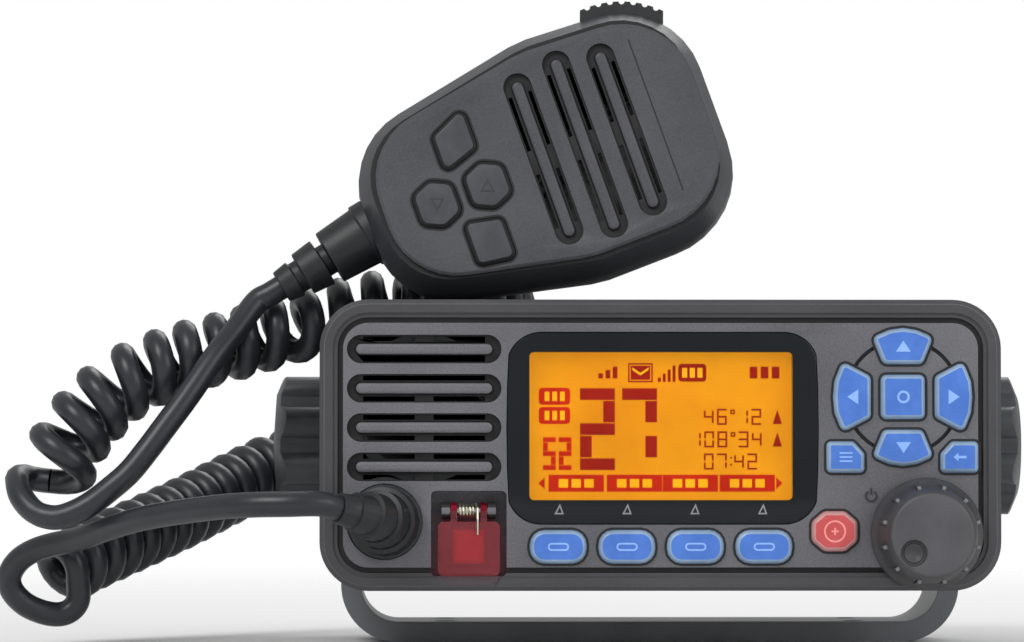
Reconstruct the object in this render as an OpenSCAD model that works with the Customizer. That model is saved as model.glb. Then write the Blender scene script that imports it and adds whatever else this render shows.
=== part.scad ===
// Fixed-mount marine radio in a U bracket, with a fist microphone on a curly cord.
// Millimetres. +X is to the right of the front, -Y is the front, +Z is up.
// The origin is the middle of the underside of the bracket's base.

/* [Front case] */
// Width of the front
case_w = 160; // [160:1:172]
// Height of the front
case_h = 68.3; // [68:0.1:76]
// Depth of the front case
case_depth = 35; // [34:1:42]
// Corner radius of the front
case_corner = 11.5; // [10:0.5:14]
// Side wall of the front case, at the seal
case_wall = 3; // [2.4:0.1:3.4]
// Thickness of the front wall
face_wall = 3; // [2.6:0.1:3.4]
// Width of the bevel round the front
edge_bevel = 1; // [0.6:0.1:1.6]
// Distance from the outline to the raised rim's inner edge
rim_in = 3.1; // [2.4:0.1:3.3]
// Distance from the outline to the textured panel
panel_in = 5.5; // [5.2:0.1:5.8]

/* [Speaker] */
// Length of a ring slot
slot_w = 36.2; // [32:0.2:38]
// Land between two slots
slot_land = 2.5; // [2.2:0.1:2.8]
// Width of a slot's groove
slot_groove = 1.85; // [1.6:0.05:2.1]
// Number of slots
slot_count = 4; // [3:1:4]

/* [Display] */
// Land between the slots and the lens
lens_land = 1.3; // [1.1:0.1:2]
// Thickness of the lens
lens_t = 1.8; // [1.4:0.1:2]
// Dark border at each side of the display's lit area
lens_border = 5.65; // [5:0.05:7]

/* [Keys] */
// How far a key stands out of the panel
key_proud = 1.4; // [1:0.1:2]
// Travel of a key
key_travel = 0.8; // [0.5:0.1:0.9]
// Gap round a key
key_gap = 0.3; // [0.2:0.05:0.35]
// Width of the bevel round a key's top
key_bevel = 0.9; // [0.5:0.1:1.2]
// Land between two soft keys
soft_key_land = 2.8; // [2:0.1:3.4]
// Height of a soft key
soft_key_h = 7.8; // [7:0.1:8]

/* [Volume knob] */
// Radius of the knob at its foot
knob_r = 13.2; // [12:0.1:13.4]
// Height of the knob
knob_h = 15; // [12:0.5:20]
// Number of finger ribs
knob_ribs = 12; // [8:1:16]
// Radius of the encoder's shaft
shaft_r = 3; // [2.5:0.1:3.2]
// Travel of the knob when it is pressed
knob_push = 0.8; // [0.5:0.1:0.9]

/* [Distress key] */
// Width of the bay
bay_w = 17.7; // [17.2:0.1:18]
// Height of the bay
bay_h = 20; // [19.6:0.1:20.2]
// Depth of the bay
bay_depth = 6.4; // [5.8:0.1:6.6]
// Width of the hinged cover
cover_w = 14.5; // [13.8:0.1:14.8]
// Thickness of the cover
cover_t = 1.8; // [1.4:0.1:2]
// Radius of the cover's hinge pin
pin_r = 0.9; // [0.7:0.05:1]
// Wire of the cover's spring
spring_wire = 0.6; // [0.4:0.05:0.65]

/* [Chassis] */
// Distance from the case's side to the chassis's side
chassis_inset = 11; // [10.5:0.5:15]
// Height of the chassis
chassis_h = 50; // [46:0.5:50]
// Distance from the case's back to the ends of the fins
chassis_len = 79; // [74:1:90]
// Wall of the chassis
chassis_wall = 4; // [3:0.25:5]
// Depth of the heat-sink fins
fin_depth = 12; // [8:1:15]
// Thickness of a fin
fin_t = 2.6; // [2:0.1:3]
// Distance from one fin to the next
fin_pitch = 7.4; // [6.6:0.1:9]

/* [Bracket] */
// Height of the pivots above the bench
pivot_z = 48; // [48:0.5:60]
// Thickness of the bracket's strap
strap_t = 5; // [4:0.25:6]
// Width of the strap
strap_w = 36; // [30:1:36]
// Outer radius of the strap's bends
bend_r = 14; // [10:0.5:18]
// Distance between the base holes, left to right
base_hole_x = 100; // [80:1:110]
// Distance between the base holes, front to back
base_hole_y = 20; // [16:0.5:22]
// Radius of a base hole
base_hole_r = 2.75; // [2:0.05:3.25]
// Thickness of a friction washer
washer_t = 1.5; // [1:0.25:2]

/* [Clamp knobs] */
// Radius over the lobes
clamp_r = 18; // [15:0.5:18.5]
// Height of a clamp knob
clamp_h = 16; // [14:0.5:20]
// Number of lobes
clamp_lobes = 8; // [6:1:10]
// Radius of the threaded stud
stud_r = 3; // [2.5:0.1:3.5]

/* [Microphone] */
// Depth of the microphone
mic_depth = 32; // [30:0.5:36]
// Depth of the parting line behind the microphone's face
mic_split = 14; // [13:0.5:16]
// Wall of the microphone's shells
mic_wall = 2.2; // [1.8:0.1:2.6]
// Tilt of the microphone's axis
mic_tilt = 19.5; // [15:0.5:22]
// How far the microphone leans back
mic_lean = 7; // [5:0.5:9]
// Travel of the push-to-talk bar
ptt_travel = 1.5; // [1:0.1:1.8]
// How far the push-to-talk bar stands out
ptt_proud = 2.6; // [2:0.1:3.2]

/* [Cord] */
// Diameter of the cord
cord_d = 5.9; // [5.4:0.1:6]
// Radius of a curl, to the middle of the cord
curl_r = 6; // [5.8:0.05:6.2]
// Least gap between two curls
curl_gap = 0.5; // [0.45:0.01:0.8]

/* [Hidden] */
$fn = 48;
hull_fn = 32;
slip = 0.05;            // running clearance of a shaft in its bore
seat = 0.15;            // clearance of a piece in its pocket
apart = 0.3;            // clearance between pieces that pass each other

// Levels along Y, from the front to the back
front_y = -70;
case_back_y = front_y + case_depth;
face_back_y = front_y + face_wall;
panel_y = front_y + 0.2;
chassis_back_y = case_back_y + chassis_len;
chassis_wall_y = chassis_back_y - fin_depth;
seal_t = 1;
flange_t = 4;
flange_y = case_back_y - flange_t;
ledge_y = flange_y - seal_t;
ledge_w = 1.5;
board_y = face_back_y + 7;
board_t = 1.6;
switch_h = 1.5;
key_lip = 0.6;
key_flange_t = 1;
key_stem_y = board_y - switch_h - key_travel - 0.1;

// Places on the front, from the middle of the case, as [x, z]
left_edge = -case_w/2;
right_edge = case_w/2;
top_edge = case_h/2;
bottom_edge = -case_h/2;
side_land = 6.4;
jack_r = 8.95;
jack_at = [left_edge + 15.2, bottom_edge + 16.2];
bay_at = [left_edge + 34.95, bottom_edge + 13.45];
call_key_at = [right_edge - 39.3, bottom_edge + 13.95];
volume_at = [right_edge - 17.8, bottom_edge + knob_r + 0.1];
// The slots fill the height above the jack
slots_room = case_h - 16.2 - jack_r - 0.55 - 8.3;
slot_pitch = (slots_room + slot_land)/4;
slot_h = slot_pitch - slot_land;
slot_bar = slot_h - 2*slot_groove;
slots_x = left_edge + side_land + slot_w/2;
slots_z = top_edge - 8.3 - slot_h/2;
speaker_at = [left_edge + 24.4, slots_z - slot_pitch*(slot_count - 1)/2];
speaker_r = 1.9*slot_pitch;
// The arrow keys fill the height above the volume knob
pad = (case_h - 2*knob_r - 0.1 - 2.55 - 6.45)/32.8;
dpad_at = [right_edge - 23.2, top_edge - 6.45 - 16.4*pad];
dpad_reach_x = 11.8*pad;
dpad_reach_z = 12.1*pad;
// The lens fills the width and the height between them
lens_left = left_edge + side_land + slot_w + lens_land;
lens_right = dpad_at.x - 13.5*pad - 4.55*pad - lens_land - 0.55;
lens_w = lens_right - lens_left;
lens_h = case_h - 7.75 - 15.65;
lens_at = [(lens_left + lens_right)/2, top_edge - 7.75 - lens_h/2];
lcd_w = lens_w - 2*lens_border;
lcd_h = lens_h - 10.2;
lcd_at = [lens_at.x - 0.4, lens_at.y + 0.5];
lcd_glass_t = 3;
soft_key_pitch = (lens_w - 5.9 + soft_key_land)/4.35;
soft_key_w = soft_key_pitch - soft_key_land;
soft_key_z = bottom_edge + 10.35;

// Outlines of the keys, as the centres of their round corners, from the key's middle
UP_FORM = [[-5.4, 1.2], [-2.8, 2.3], [0, 2.7], [2.8, 2.3], [5.4, 1.2], [3.7, -3], [-3.7, -3]];
LEFT_FORM = [[-2.9, -3.4], [-3.2, 0], [-2.9, 3.4], [-1.7, 6.4], [2.9, 4], [2.9, -4], [-1.7, -6.4]];
MENU_FORM = [[-3.4, -2.6], [3.4, -2.6], [3.4, 0.4], [1.4, 2.6], [-3.4, 2.6]];
CALL_FORM = [[-3.8, -1.5], [-1.9, -3.1], [1.9, -3.1], [3.8, -1.5], [3.8, 1.5], [1.9, 3.1], [-1.9, 3.1], [-3.8, 1.5]];
function box_form(w, h) = [[-w/2, -h/2], [w/2, -h/2], [w/2, h/2], [-w/2, h/2]];
function turned_form(form, x, z) = [for (c = form) [x*c.x, z*c.y]];
soft_key_r = 3.4;

// The keys that share one build: [name, x, z, corner centres, corner radius, colour]
key_blue = [0.31, 0.53, 0.93];
key_red = [0.93, 0.36, 0.36];
PANEL_KEYS = concat([
    ["key_up",     dpad_at.x, dpad_at.y + dpad_reach_z, turned_form(UP_FORM, pad, pad), 1.4*pad, key_blue],
    ["key_down",   dpad_at.x, dpad_at.y - dpad_reach_z, turned_form(UP_FORM, pad, -pad), 1.4*pad, key_blue],
    ["key_left",   dpad_at.x - dpad_reach_x, dpad_at.y, turned_form(LEFT_FORM, pad, pad), 1.4*pad, key_blue],
    ["key_right",  dpad_at.x + dpad_reach_x, dpad_at.y, turned_form(LEFT_FORM, -pad, pad), 1.4*pad, key_blue],
    ["key_select", dpad_at.x, dpad_at.y, box_form(7.8*pad, 7.8*pad), 1.3*pad, key_blue],
    ["key_menu",   dpad_at.x - 13.5*pad, dpad_at.y - 14.1*pad, turned_form(MENU_FORM, pad, pad), 1.05*pad, key_blue],
    ["key_back",   dpad_at.x + 13.3*pad, dpad_at.y - 14.1*pad, turned_form(MENU_FORM, -pad, pad), 1.05*pad, key_blue],
    ["key_call",   call_key_at.x, call_key_at.y, CALL_FORM, 1.6, key_red]],
    [for (i = [0:3]) [str("soft_key_", i + 1), lcd_at.x + (i - 1.5)*soft_key_pitch, soft_key_z,
        box_form(soft_key_w - 2*soft_key_r, soft_key_h - 2*soft_key_r), soft_key_r, key_blue]]);

// Encoder
encoder_at = [volume_at.x, pivot_z + volume_at.y];
encoder_w = 11.6;
bush_r = shaft_r + 0.9;
plunger_t = 1.4;
plunger_y = board_y - plunger_t - knob_push - 0.2;
knob_y = front_y - knob_push - 0.5;
knob_face_y = knob_y - knob_h;
knob_cap = 3;
shaft_front_y = knob_face_y + knob_cap;

// Distress bay
bay_floor_t = 1.5;
bay_floor_y = front_y + bay_depth;
hinge_y = front_y + 2.2;
hinge_z = bay_at.y + bay_h/2 - 4.7;
barrel_r = pin_r + 1.1;
barrel_w = 1.6;
barrel_x = cover_w/2 - 3.75;
lug_w = 1.9;
lug_x = barrel_x + barrel_w/2 + 0.15 + lug_w/2;
cover_top_z = hinge_z - 2.5;
cover_bottom_z = bay_at.y - bay_h/2 + 0.1;
cover_y = front_y - 0.3;
button_w = 7.3;
button_h = 7.7;
button_z = (cover_top_z + cover_bottom_z)/2;
button_travel = 1;
button_y = bay_floor_y - 2.8;
spring_r = barrel_r - 0.2;
spring_coils = 5;

// Microphone jack
jack_wall = 1.5;
jack_floor_y = front_y + 4;
socket_r = 6;

// Chassis
flange_w = case_w - 2*case_wall - 0.8;
flange_h = case_h - 2*case_wall - 0.8;
inner_w = case_w - 2*(case_wall + ledge_w);
inner_h = case_h - 2*(case_wall + ledge_w);
boss_r = 5;
boss_at = [case_w/2 - 0.727*chassis_inset, case_h/2 - 7.15];
screw_r = 1.5;
chassis_w = case_w - 2*chassis_inset;
chassis_in_w = chassis_w - 2*chassis_wall;
chassis_in_h = chassis_h - 2*chassis_wall;
connector_x0 = 6;
connector_x1 = 62;
connector_z = -8;
socket_at = [46, pivot_z + connector_z];
so_thread_r = 7.94;
so_thread_len = 14;
gland_x = [14, 26];
gland_r = 4.4;
post_h = 5;
board_z = pivot_z - chassis_in_h/2 + post_h;

// Bracket and clamps
arm_in = chassis_w/2 + washer_t;
arm_out = arm_in + strap_t;
clamp_washer_t = 1;
clamp_in = arm_out + clamp_washer_t;
clamp_out = clamp_in + clamp_h;
hex_t = 5;
hex_r = 6.4;
stud_in = chassis_w/2 - 8;
stud_tail = clamp_in + hex_t + 6.5;

// Microphone: circles that its outline goes round, as [u, v, radius]
MIC_FACE = [[22.5, 7.5, 18], [5, 4, 22], [-23, 3.5, 17]];
MIC_BODY = [[23, 9.5, 20.5], [6, 6.5, 24], [-25, 4.5, 19.5]];
mic_gap = 0.2;
mic_x = -27.2;
mic_y = front_y + 14;
mic_step = 1.2;
// Slices of the outside behind the face, as [depth, growth of the body's outline]
MIC_FRONT = [[8, -0.4], [mic_split, 0]];
MIC_REAR = [[mic_split, 0], [mic_split + 6, -0.6], [mic_depth - 6, -3],
            [mic_depth - 2, -8], [mic_depth, -13]];
// Direction straight down, seen in the microphone's own frame
mic_down = [-sin(mic_tilt), -cos(mic_tilt)*cos(mic_lean), -cos(mic_tilt)*sin(mic_lean)];
mic_drop = max([for (s = concat(MIC_FRONT, MIC_REAR), c = MIC_BODY, side = [-1, 1])
    c[0]*mic_down.x + side*c[1]*mic_down.y
    + (c[2] + s[1])*norm([mic_down.x, mic_down.y]) - s[0]*mic_down.z]);
mic_z = pivot_z + case_h/2 + mic_gap + mic_drop;
mic_slots = [[0, 43.4], [10.5, 47.5], [21, 43.7]];
mic_slot_w = 6.8;
mic_slot_bar = 3.1;
mic_key_proud = 1.1;
mic_key_travel = 0.8;
mic_flange_t = 0.8;
mic_face_in = mic_wall + 0.2;
mic_board_z = -mic_face_in - mic_flange_t - mic_key_travel - 0.6;
mic_board_t = 1.4;
// The microphone's keys: [name, u, v, corner centres, corner radius]
ROUND_FORM = [[-2.7, -2.2], [0, -3.4], [2.7, -2.2], [2.7, 2.2], [0, 3.4], [-2.7, 2.2]];
MIC_KEYS = [
    ["mic_key_high", -18.6,  11.2, [[-2.9, -4.4], [2.9, -2.3], [2.9, 4.3], [-2.9, 1.5]], 2],
    ["mic_key_low",  -18.5, -14.6, [[-2.9, -3.1], [2.9, -3.8], [2.9, 3.2], [-2.9, 4.3]], 2],
    ["mic_key_up",   -14.6,  -1.6, ROUND_FORM, 2.6],
    ["mic_key_down", -27.4,  -1.9, ROUND_FORM, 2.6]];
ptt_angle = 70;
ptt_len = 20;
ptt_w = 12;
ptt_mid = mic_split + 0.5;
ptt_flange_in = 7.2;
relief_at = [-42.5, 0, -mic_split - 2];
relief_bend = 12;
// Rings of the microphone's strain relief: [start, end, radius at start, radius at end]
RELIEF = [[0, 3.5, 8, 8], [3.5, 13.4, 7.4, 6.7], [15.4, 21, 6, 5.4], [23, 27, 4.6, 4]];
relief_core = 3.9;
relief_neck = 6.1;
relief_len = 27;

// Cord, as points on the middle of its route. The coil's list is that of its own axis.
COIL_AXIS = [
    [-143.2, -49, 40.2], [-141.5, -48, 45.7], [-137.7, -46.5, 52], [-133.2, -45, 57.3],
    [-128.4, -43.5, 61.7], [-122.5, -42, 65.2], [-116.4, -40, 67.8], [-110.5, -38, 69.8],
    [-105, -36, 71.2], [-100, -34.5, 72.6], [-95, -33, 74.1], [-89.7, -31, 75.7],
    [-84.5, -28, 77.2], [-79.2, -25.5, 78.7], [-73.4, -24, 80.4], [-62, -21, 82.6],
    [-51, -14, 83], [-42, -4, 83], [-37, 8, 83], [-36, 22, 83],
    [-38, 36, 83], [-41, 47, 82.4], [-45, 55, 77.5], [-50, 58.5, 68.5],
    [-56, 59, 59], [-63, 57.5, 50.5], [-71, 54, 46.3], [-81, 47.5, 45],
    [-90.6, 40, 43.6], [-99.3, 30, 39.6], [-107, 20, 35.6], [-114.4, 10, 31.7],
    [-121.9, 0, 28.1], [-130.4, -12, 24.2], [-138, -22, 20.6], [-143.6, -29, 17.3]];
MIC_LEAD = [
    [-148.8, -42.4, 40], [-151.1, -44.6, 40.6], [-152.1, -47.6, 40.2], [-151.9, -50.6, 39],
    [-151.4, -53.2, 37.2],
    [-150.2, -55.5, 35.1], [-147.9, -57.5, 32.7], [-145.1, -58.5, 31.3], [-141.5, -59.5, 31],
    [-137.3, -60, 32.4], [-133.3, -60, 34.7], [-129.3, -60, 37.8], [-125, -59.5, 41.6],
    [-120.8, -58.5, 46.8], [-116.7, -57, 52.4], [-111.5, -54.5, 59.6], [-105.5, -50.5, 68.5],
    [-100, -45, 76]];
JACK_LEAD = [
    [-87, -93.5, 34.4], [-95.8, -91, 34.2], [-105.2, -84, 33.4], [-119.7, -70, 31.2],
    [-129.8, -58.5, 28.4], [-137.5, -49, 25.7], [-144.4, -43, 24.2], [-149, -40.2, 22.7],
    [-152.7, -38, 20.2], [-154.8, -36.3, 16.8], [-154.4, -35.2, 13.3], [-151.5, -34.3, 10],
    [-147.5, -33.2, 8], [-143.6, -32.3, 7.3], [-140.6, -32, 8.2], [-138.7, -31.9, 10.8]];
PLUG_ROUTE = [
    [0, 0, 0], [0, -7, 0.1], [-1.4, -13.5, 0.8], [-5, -19, 2], [-10.6, -22.6, 3.4]];
// Steps of the plug's boot: radius at shares of its length
PLUG_STEPS = [[0, 8.4], [0.2, 8.4], [0.21, 7.9], [0.36, 7.5], [0.37, 6.8], [0.52, 6.4],
              [0.53, 5.7], [0.68, 5.3], [0.69, 4.7], [0.84, 4.3], [0.85, 4.1], [1, 3.6]];
rings_per_curl = 8;
start_phase = 250;              // where on the first curl the coil starts
end_phase = 165;                // where on the last curl it ends
// The first curls are wider: [distance along the axis, added radius]
SWELL = [[0, 0.7], [16, 0.6], [45, 0]];

// ---------------------------------------------------------------- helpers

// Rectangle with round corners, made of true arcs
module round_rect(w, h, r) {
    square([w - 2*r, h], center = true);
    square([w, h - 2*r], center = true);
    for (x = [-1, 1], y = [-1, 1])
        translate([x*(w/2 - r), y*(h/2 - r)]) circle(r);
}

// Rectangle with cut corners
module cut_rect(w, h, c)
    polygon([[-w/2, -h/2 + c], [-w/2 + c, -h/2], [w/2 - c, -h/2], [w/2, -h/2 + c],
             [w/2, h/2 - c], [w/2 - c, h/2], [-w/2 + c, h/2], [-w/2, h/2 - c]]);

// Slot with round ends, along X
module stadium(w, h) {
    square([w - h, h], center = true);
    for (x = [-1, 1]) translate([x*(w - h)/2, 0]) circle(h/2);
}

// A front-view outline about the pivot's height, from y0 back to y1
module panel(y0, y1)
    translate([0, y1, pivot_z]) rotate([90, 0, 0]) linear_extrude(y1 - y0) children();

// A side-view outline (Y, Z), from x0 to x1
module along_x(x0, x1)
    translate([x0, 0, 0]) rotate([90, 0, 90]) linear_extrude(x1 - x0) children();

// A cylinder along Y at [x, z], with its radius at y0 and at y1
module y_rod(at, y0, y1, r0, r1)
    translate([at.x, y1, at.y]) rotate([90, 0, 0]) cylinder(h = y1 - y0, r1 = r1, r2 = r0);

// A cylinder along X through the pivots' height
module pivot_rod(x0, x1, r)
    translate([x0, 0, pivot_z]) rotate([0, 90, 0]) cylinder(h = x1 - x0, r = r);

// Children on the left side as well as the right, or on one side
module on_side(side) mirror([side < 0 ? 1 : 0, 0, 0]) children();

// Places children in the microphone's frame: u along it, v across it, its face at z = 0
module in_mic()
    translate([mic_x, mic_y, mic_z]) rotate([90, 0, 0]) rotate([0, 0, mic_tilt])
        rotate([-mic_lean, 0, 0]) children();

// The microphone's rounded form through slices of [depth, growth]
module mic_form(circles, slices)
    hull() for (s = slices, c = circles, side = [-1, 1])
        translate([c[0], side*c[1], -s[0]]) cylinder(h = 0.01, r = c[2] + s[1], $fn = hull_fn);

// ---------------------------------------------------------------- curves

function unit(v) = v/norm(v);
function mix(a, b, t) = a + (b - a)*t;
// Point on a smooth curve between b and c
function bend(a, b, c, d, t) =
    0.5*(2*b + (c - a)*t + (2*a - 5*b + 4*c - d)*t*t + (3*b - a - 3*c + d)*t*t*t);
// Smooth curve through points
function smooth(p, steps) = let (n = len(p),
    q = concat([2*p[0] - p[1]], p, [2*p[n - 1] - p[n - 2]]))
    concat([for (i = [1:n - 1], k = [0:steps - 1]) bend(q[i - 1], q[i], q[i + 1], q[i + 2], k/steps)],
           [p[n - 1]]);
function tangents(p) = let (n = len(p))
    [for (i = [0:n - 1]) unit(p[min(i + 1, n - 1)] - p[max(i - 1, 0)])];
// Normals that turn with a curve without twisting about it
function normals(t, first) = [for (i = 0, m = unit(first - (first*t[0])*t[0]); i < len(t);
    i = i + 1, m = i < len(t) ? unit(m - (m*t[i])*t[i]) : m) m];
// Running sum of a list, from 0
function running(v) = [for (i = 0, s = 0; i <= len(v); s = s + (i < len(v) ? v[i] : 0), i = i + 1) s];
function steps_of(p) = [for (i = [0:len(p) - 2]) norm(p[i + 1] - p[i])];
// Vector at a fractional index of a list
function at_index(list, i) = let (k = min(floor(i), len(list) - 2)) mix(list[k], list[k + 1], i - k);

// Tube along points, with a radius at each
module tube(p, radii, sides) {
    t = tangents(p);
    m = normals(t, [0, 0.3, 1]);
    n = len(p);
    rings = [for (i = [0:n - 1], k = [0:sides - 1]) let (a = 360*k/sides)
        p[i] + radii[i]*(m[i]*cos(a) + cross(t[i], m[i])*sin(a))];
    walls = [for (i = [0:n - 2], k = [0:sides - 1]) let (a = i*sides + k, b = i*sides + (k + 1)%sides)
        each [[a, a + sides, b], [b, a + sides, b + sides]]];
    ends = [[for (k = [0:sides - 1]) k], [for (k = [sides - 1:-1:0]) (n - 1)*sides + k]];
    polyhedron(rings, concat(walls, ends));
}

// The coil's axis in small steps, with a frame and the room that a curl takes
axis_steps = 8;
AXIS = smooth(COIL_AXIS, axis_steps);
AXIS_T = tangents(AXIS);
AXIS_N = normals(AXIS_T, [0, 0, 1]);
AXIS_STEP = steps_of(AXIS);
AXIS_S = running(AXIS_STEP);
curl_slope = cos(atan(cord_d/(2*PI*curl_r)));
CURVATURE = [for (i = [0:len(AXIS) - 2]) norm(AXIS_T[i + 1] - AXIS_T[i])/AXIS_STEP[i]];
ROOM = [for (i = [0:len(CURVATURE) - 1]) let (c = max([for (k = [-3:3])
    CURVATURE[max(0, min(len(CURVATURE) - 1, i + k))]]))
    (cord_d + curl_gap)/curl_slope/(1 - c*curl_r)];
AXIS_TURNS = running([for (i = [0:len(ROOM) - 1]) AXIS_STEP[i]/ROOM[i]]);
axis_len = AXIS_S[len(AXIS_S) - 1];
// The curls run anticlockwise, seen along the axis
function s_at_turns(w) = lookup(w, [for (i = [0:len(AXIS_S) - 1]) [AXIS_TURNS[i], AXIS_S[i]]]);
function index_at(s) = lookup(s, [for (i = [0:len(AXIS_S) - 1]) [AXIS_S[i], i]]);
room_turns = AXIS_TURNS[len(AXIS_TURNS) - 1];
end_share = ((start_phase - end_phase)%360 + 360)%360/360;
turns = floor(room_turns - end_share) + end_share;
function on_coil(w) = let (s = s_at_turns(w*room_turns), i = index_at(s),
    t = unit(at_index(AXIS_T, i)), n = unit(at_index(AXIS_N, i)), a = start_phase - 360*turns*w)
    at_index(AXIS, i) + (curl_r + lookup(s, SWELL))*(n*cos(a) + cross(t, n)*sin(a));
curl_rings = ceil(turns*rings_per_curl);
CURLS = [for (j = [0:curl_rings]) on_coil(j/curl_rings)];
last = curl_rings;
COIL_START = CURLS[0] - unit(CURLS[1] - CURLS[0]);
COIL_END = CURLS[last] + unit(CURLS[last] - CURLS[last - 1]);
COIL = concat([COIL_START], CURLS, [COIL_END]);
// Least gap of the coiled tube to itself, past the turn that a point lies on
function to_segment(p, a, b) = norm(p - mix(a, b, max(0, min(1, (p - a)*(b - a)/((b - a)*(b - a))))));
coil_self_gap = min([for (i = [0:last], j = [i + 5:min(i + 3*rings_per_curl, last - 1)])
    to_segment(CURLS[i], CURLS[j], CURLS[j + 1])]) - cord_d;
coil_len = running(steps_of(CURLS))[last];
echo(curls = turns, coil_self_gap = coil_self_gap, coil_cord_length = coil_len);

// ---------------------------------------------------------------- bracket and clamps

module bracket() color("#3b3e42") difference() {
    union() {
        // Arms with round ends
        for (side = [-1, 1]) on_side(side) along_x(arm_in, arm_out) {
            translate([-strap_w/2, bend_r]) square([strap_w, pivot_z - bend_r]);
            translate([0, pivot_z]) circle(strap_w/2);
        }
        // Base and its two bends
        translate([0, strap_w/2, 0]) rotate([90, 0, 0]) linear_extrude(strap_w) {
            translate([-arm_out + bend_r, 0]) square([2*(arm_out - bend_r), strap_t]);
            for (side = [-1, 1]) translate([side*(arm_out - bend_r), bend_r]) intersection() {
                difference() {
                    circle(bend_r);
                    circle(bend_r - strap_t);
                }
                translate([side > 0 ? 0 : -bend_r, -bend_r]) square([bend_r, bend_r]);
            }
        }
    }
    for (side = [-1, 1]) on_side(side) pivot_rod(arm_in - 1, arm_out + 1, stud_r + 0.5);
    for (x = [-1, 1], y = [-1, 1])
        translate([x*base_hole_x/2, y*base_hole_y/2, -1]) cylinder(h = strap_t + 2, r = base_hole_r);
}

module pivot_washers() color("#1d1e20") for (side = [-1, 1]) on_side(side) difference() {
    pivot_rod(chassis_w/2, arm_in, 12);
    pivot_rod(chassis_w/2 - 1, arm_in + 1, stud_r + 0.5);
}

module clamp_washer(side) color("#8a8d90") on_side(side) difference() {
    pivot_rod(arm_out, clamp_in, 9.5);
    pivot_rod(arm_out - 1, clamp_in + 1, stud_r + 0.1);
}

module clamp_stud(side) color("#a8abae") on_side(side) {
    pivot_rod(stud_in, stud_tail, stud_r - slip);
    translate([clamp_in, 0, pivot_z]) rotate([0, 90, 0]) cylinder(h = hex_t, r = hex_r, $fn = 6);
}

module clamp_knob(side) color("#1f2022") on_side(side) difference() {
    intersection() {
        translate([clamp_in, 0, pivot_z]) rotate([0, 90, 0]) linear_extrude(clamp_h) {
            circle(clamp_r - 2.6);
            for (i = [0:clamp_lobes - 1]) rotate(360*(i + 0.5)/clamp_lobes)
                translate([clamp_r - 4.4, 0]) circle(4.4);
        }
        // Rounded outer face
        translate([clamp_in, 0, pivot_z]) rotate([0, 90, 0]) rotate_extrude()
            polygon([[0, -1], [clamp_r + 1, -1], [clamp_r + 1, clamp_h - 4.2],
                     [clamp_r - 1.4, clamp_h - 2.6], [clamp_r - 5.4, clamp_h - 0.9], [0, clamp_h]]);
    }
    translate([clamp_in - 1, 0, pivot_z]) rotate([0, 90, 0])
        cylinder(h = hex_t + 1, r = hex_r + slip, $fn = 6);
    pivot_rod(clamp_in, stud_tail + 0.2, stud_r);
}

// ---------------------------------------------------------------- front case

module case_outline(grow = 0)
    round_rect(case_w + 2*grow, case_h + 2*grow, case_corner + grow);

module key_outline(k, grow = 0)
    translate([k[1], k[2]]) hull() for (c = k[3]) translate(c) circle(k[4] + grow, $fn = 16);

// The lens has sides that bulge a little
module lens_outline(grow = 0) translate(lens_at) intersection() {
    round_rect(lens_w + 2*grow, lens_h + 2*grow, 8 + grow);
    for_bulge(grow);
}
module for_bulge(grow) intersection_for(side = [-1, 1])
    translate([side*(320 - lens_w/2 - grow), 0]) circle(320, $fn = 200);

module slot_ring(w, h, bar) difference() {
    stadium(w, h);
    stadium(w - h + bar, bar);
}

module bay_outline(grow = 0) translate(bay_at) round_rect(bay_w + 2*grow, bay_h + 2*grow, 1.2 + grow);

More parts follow.
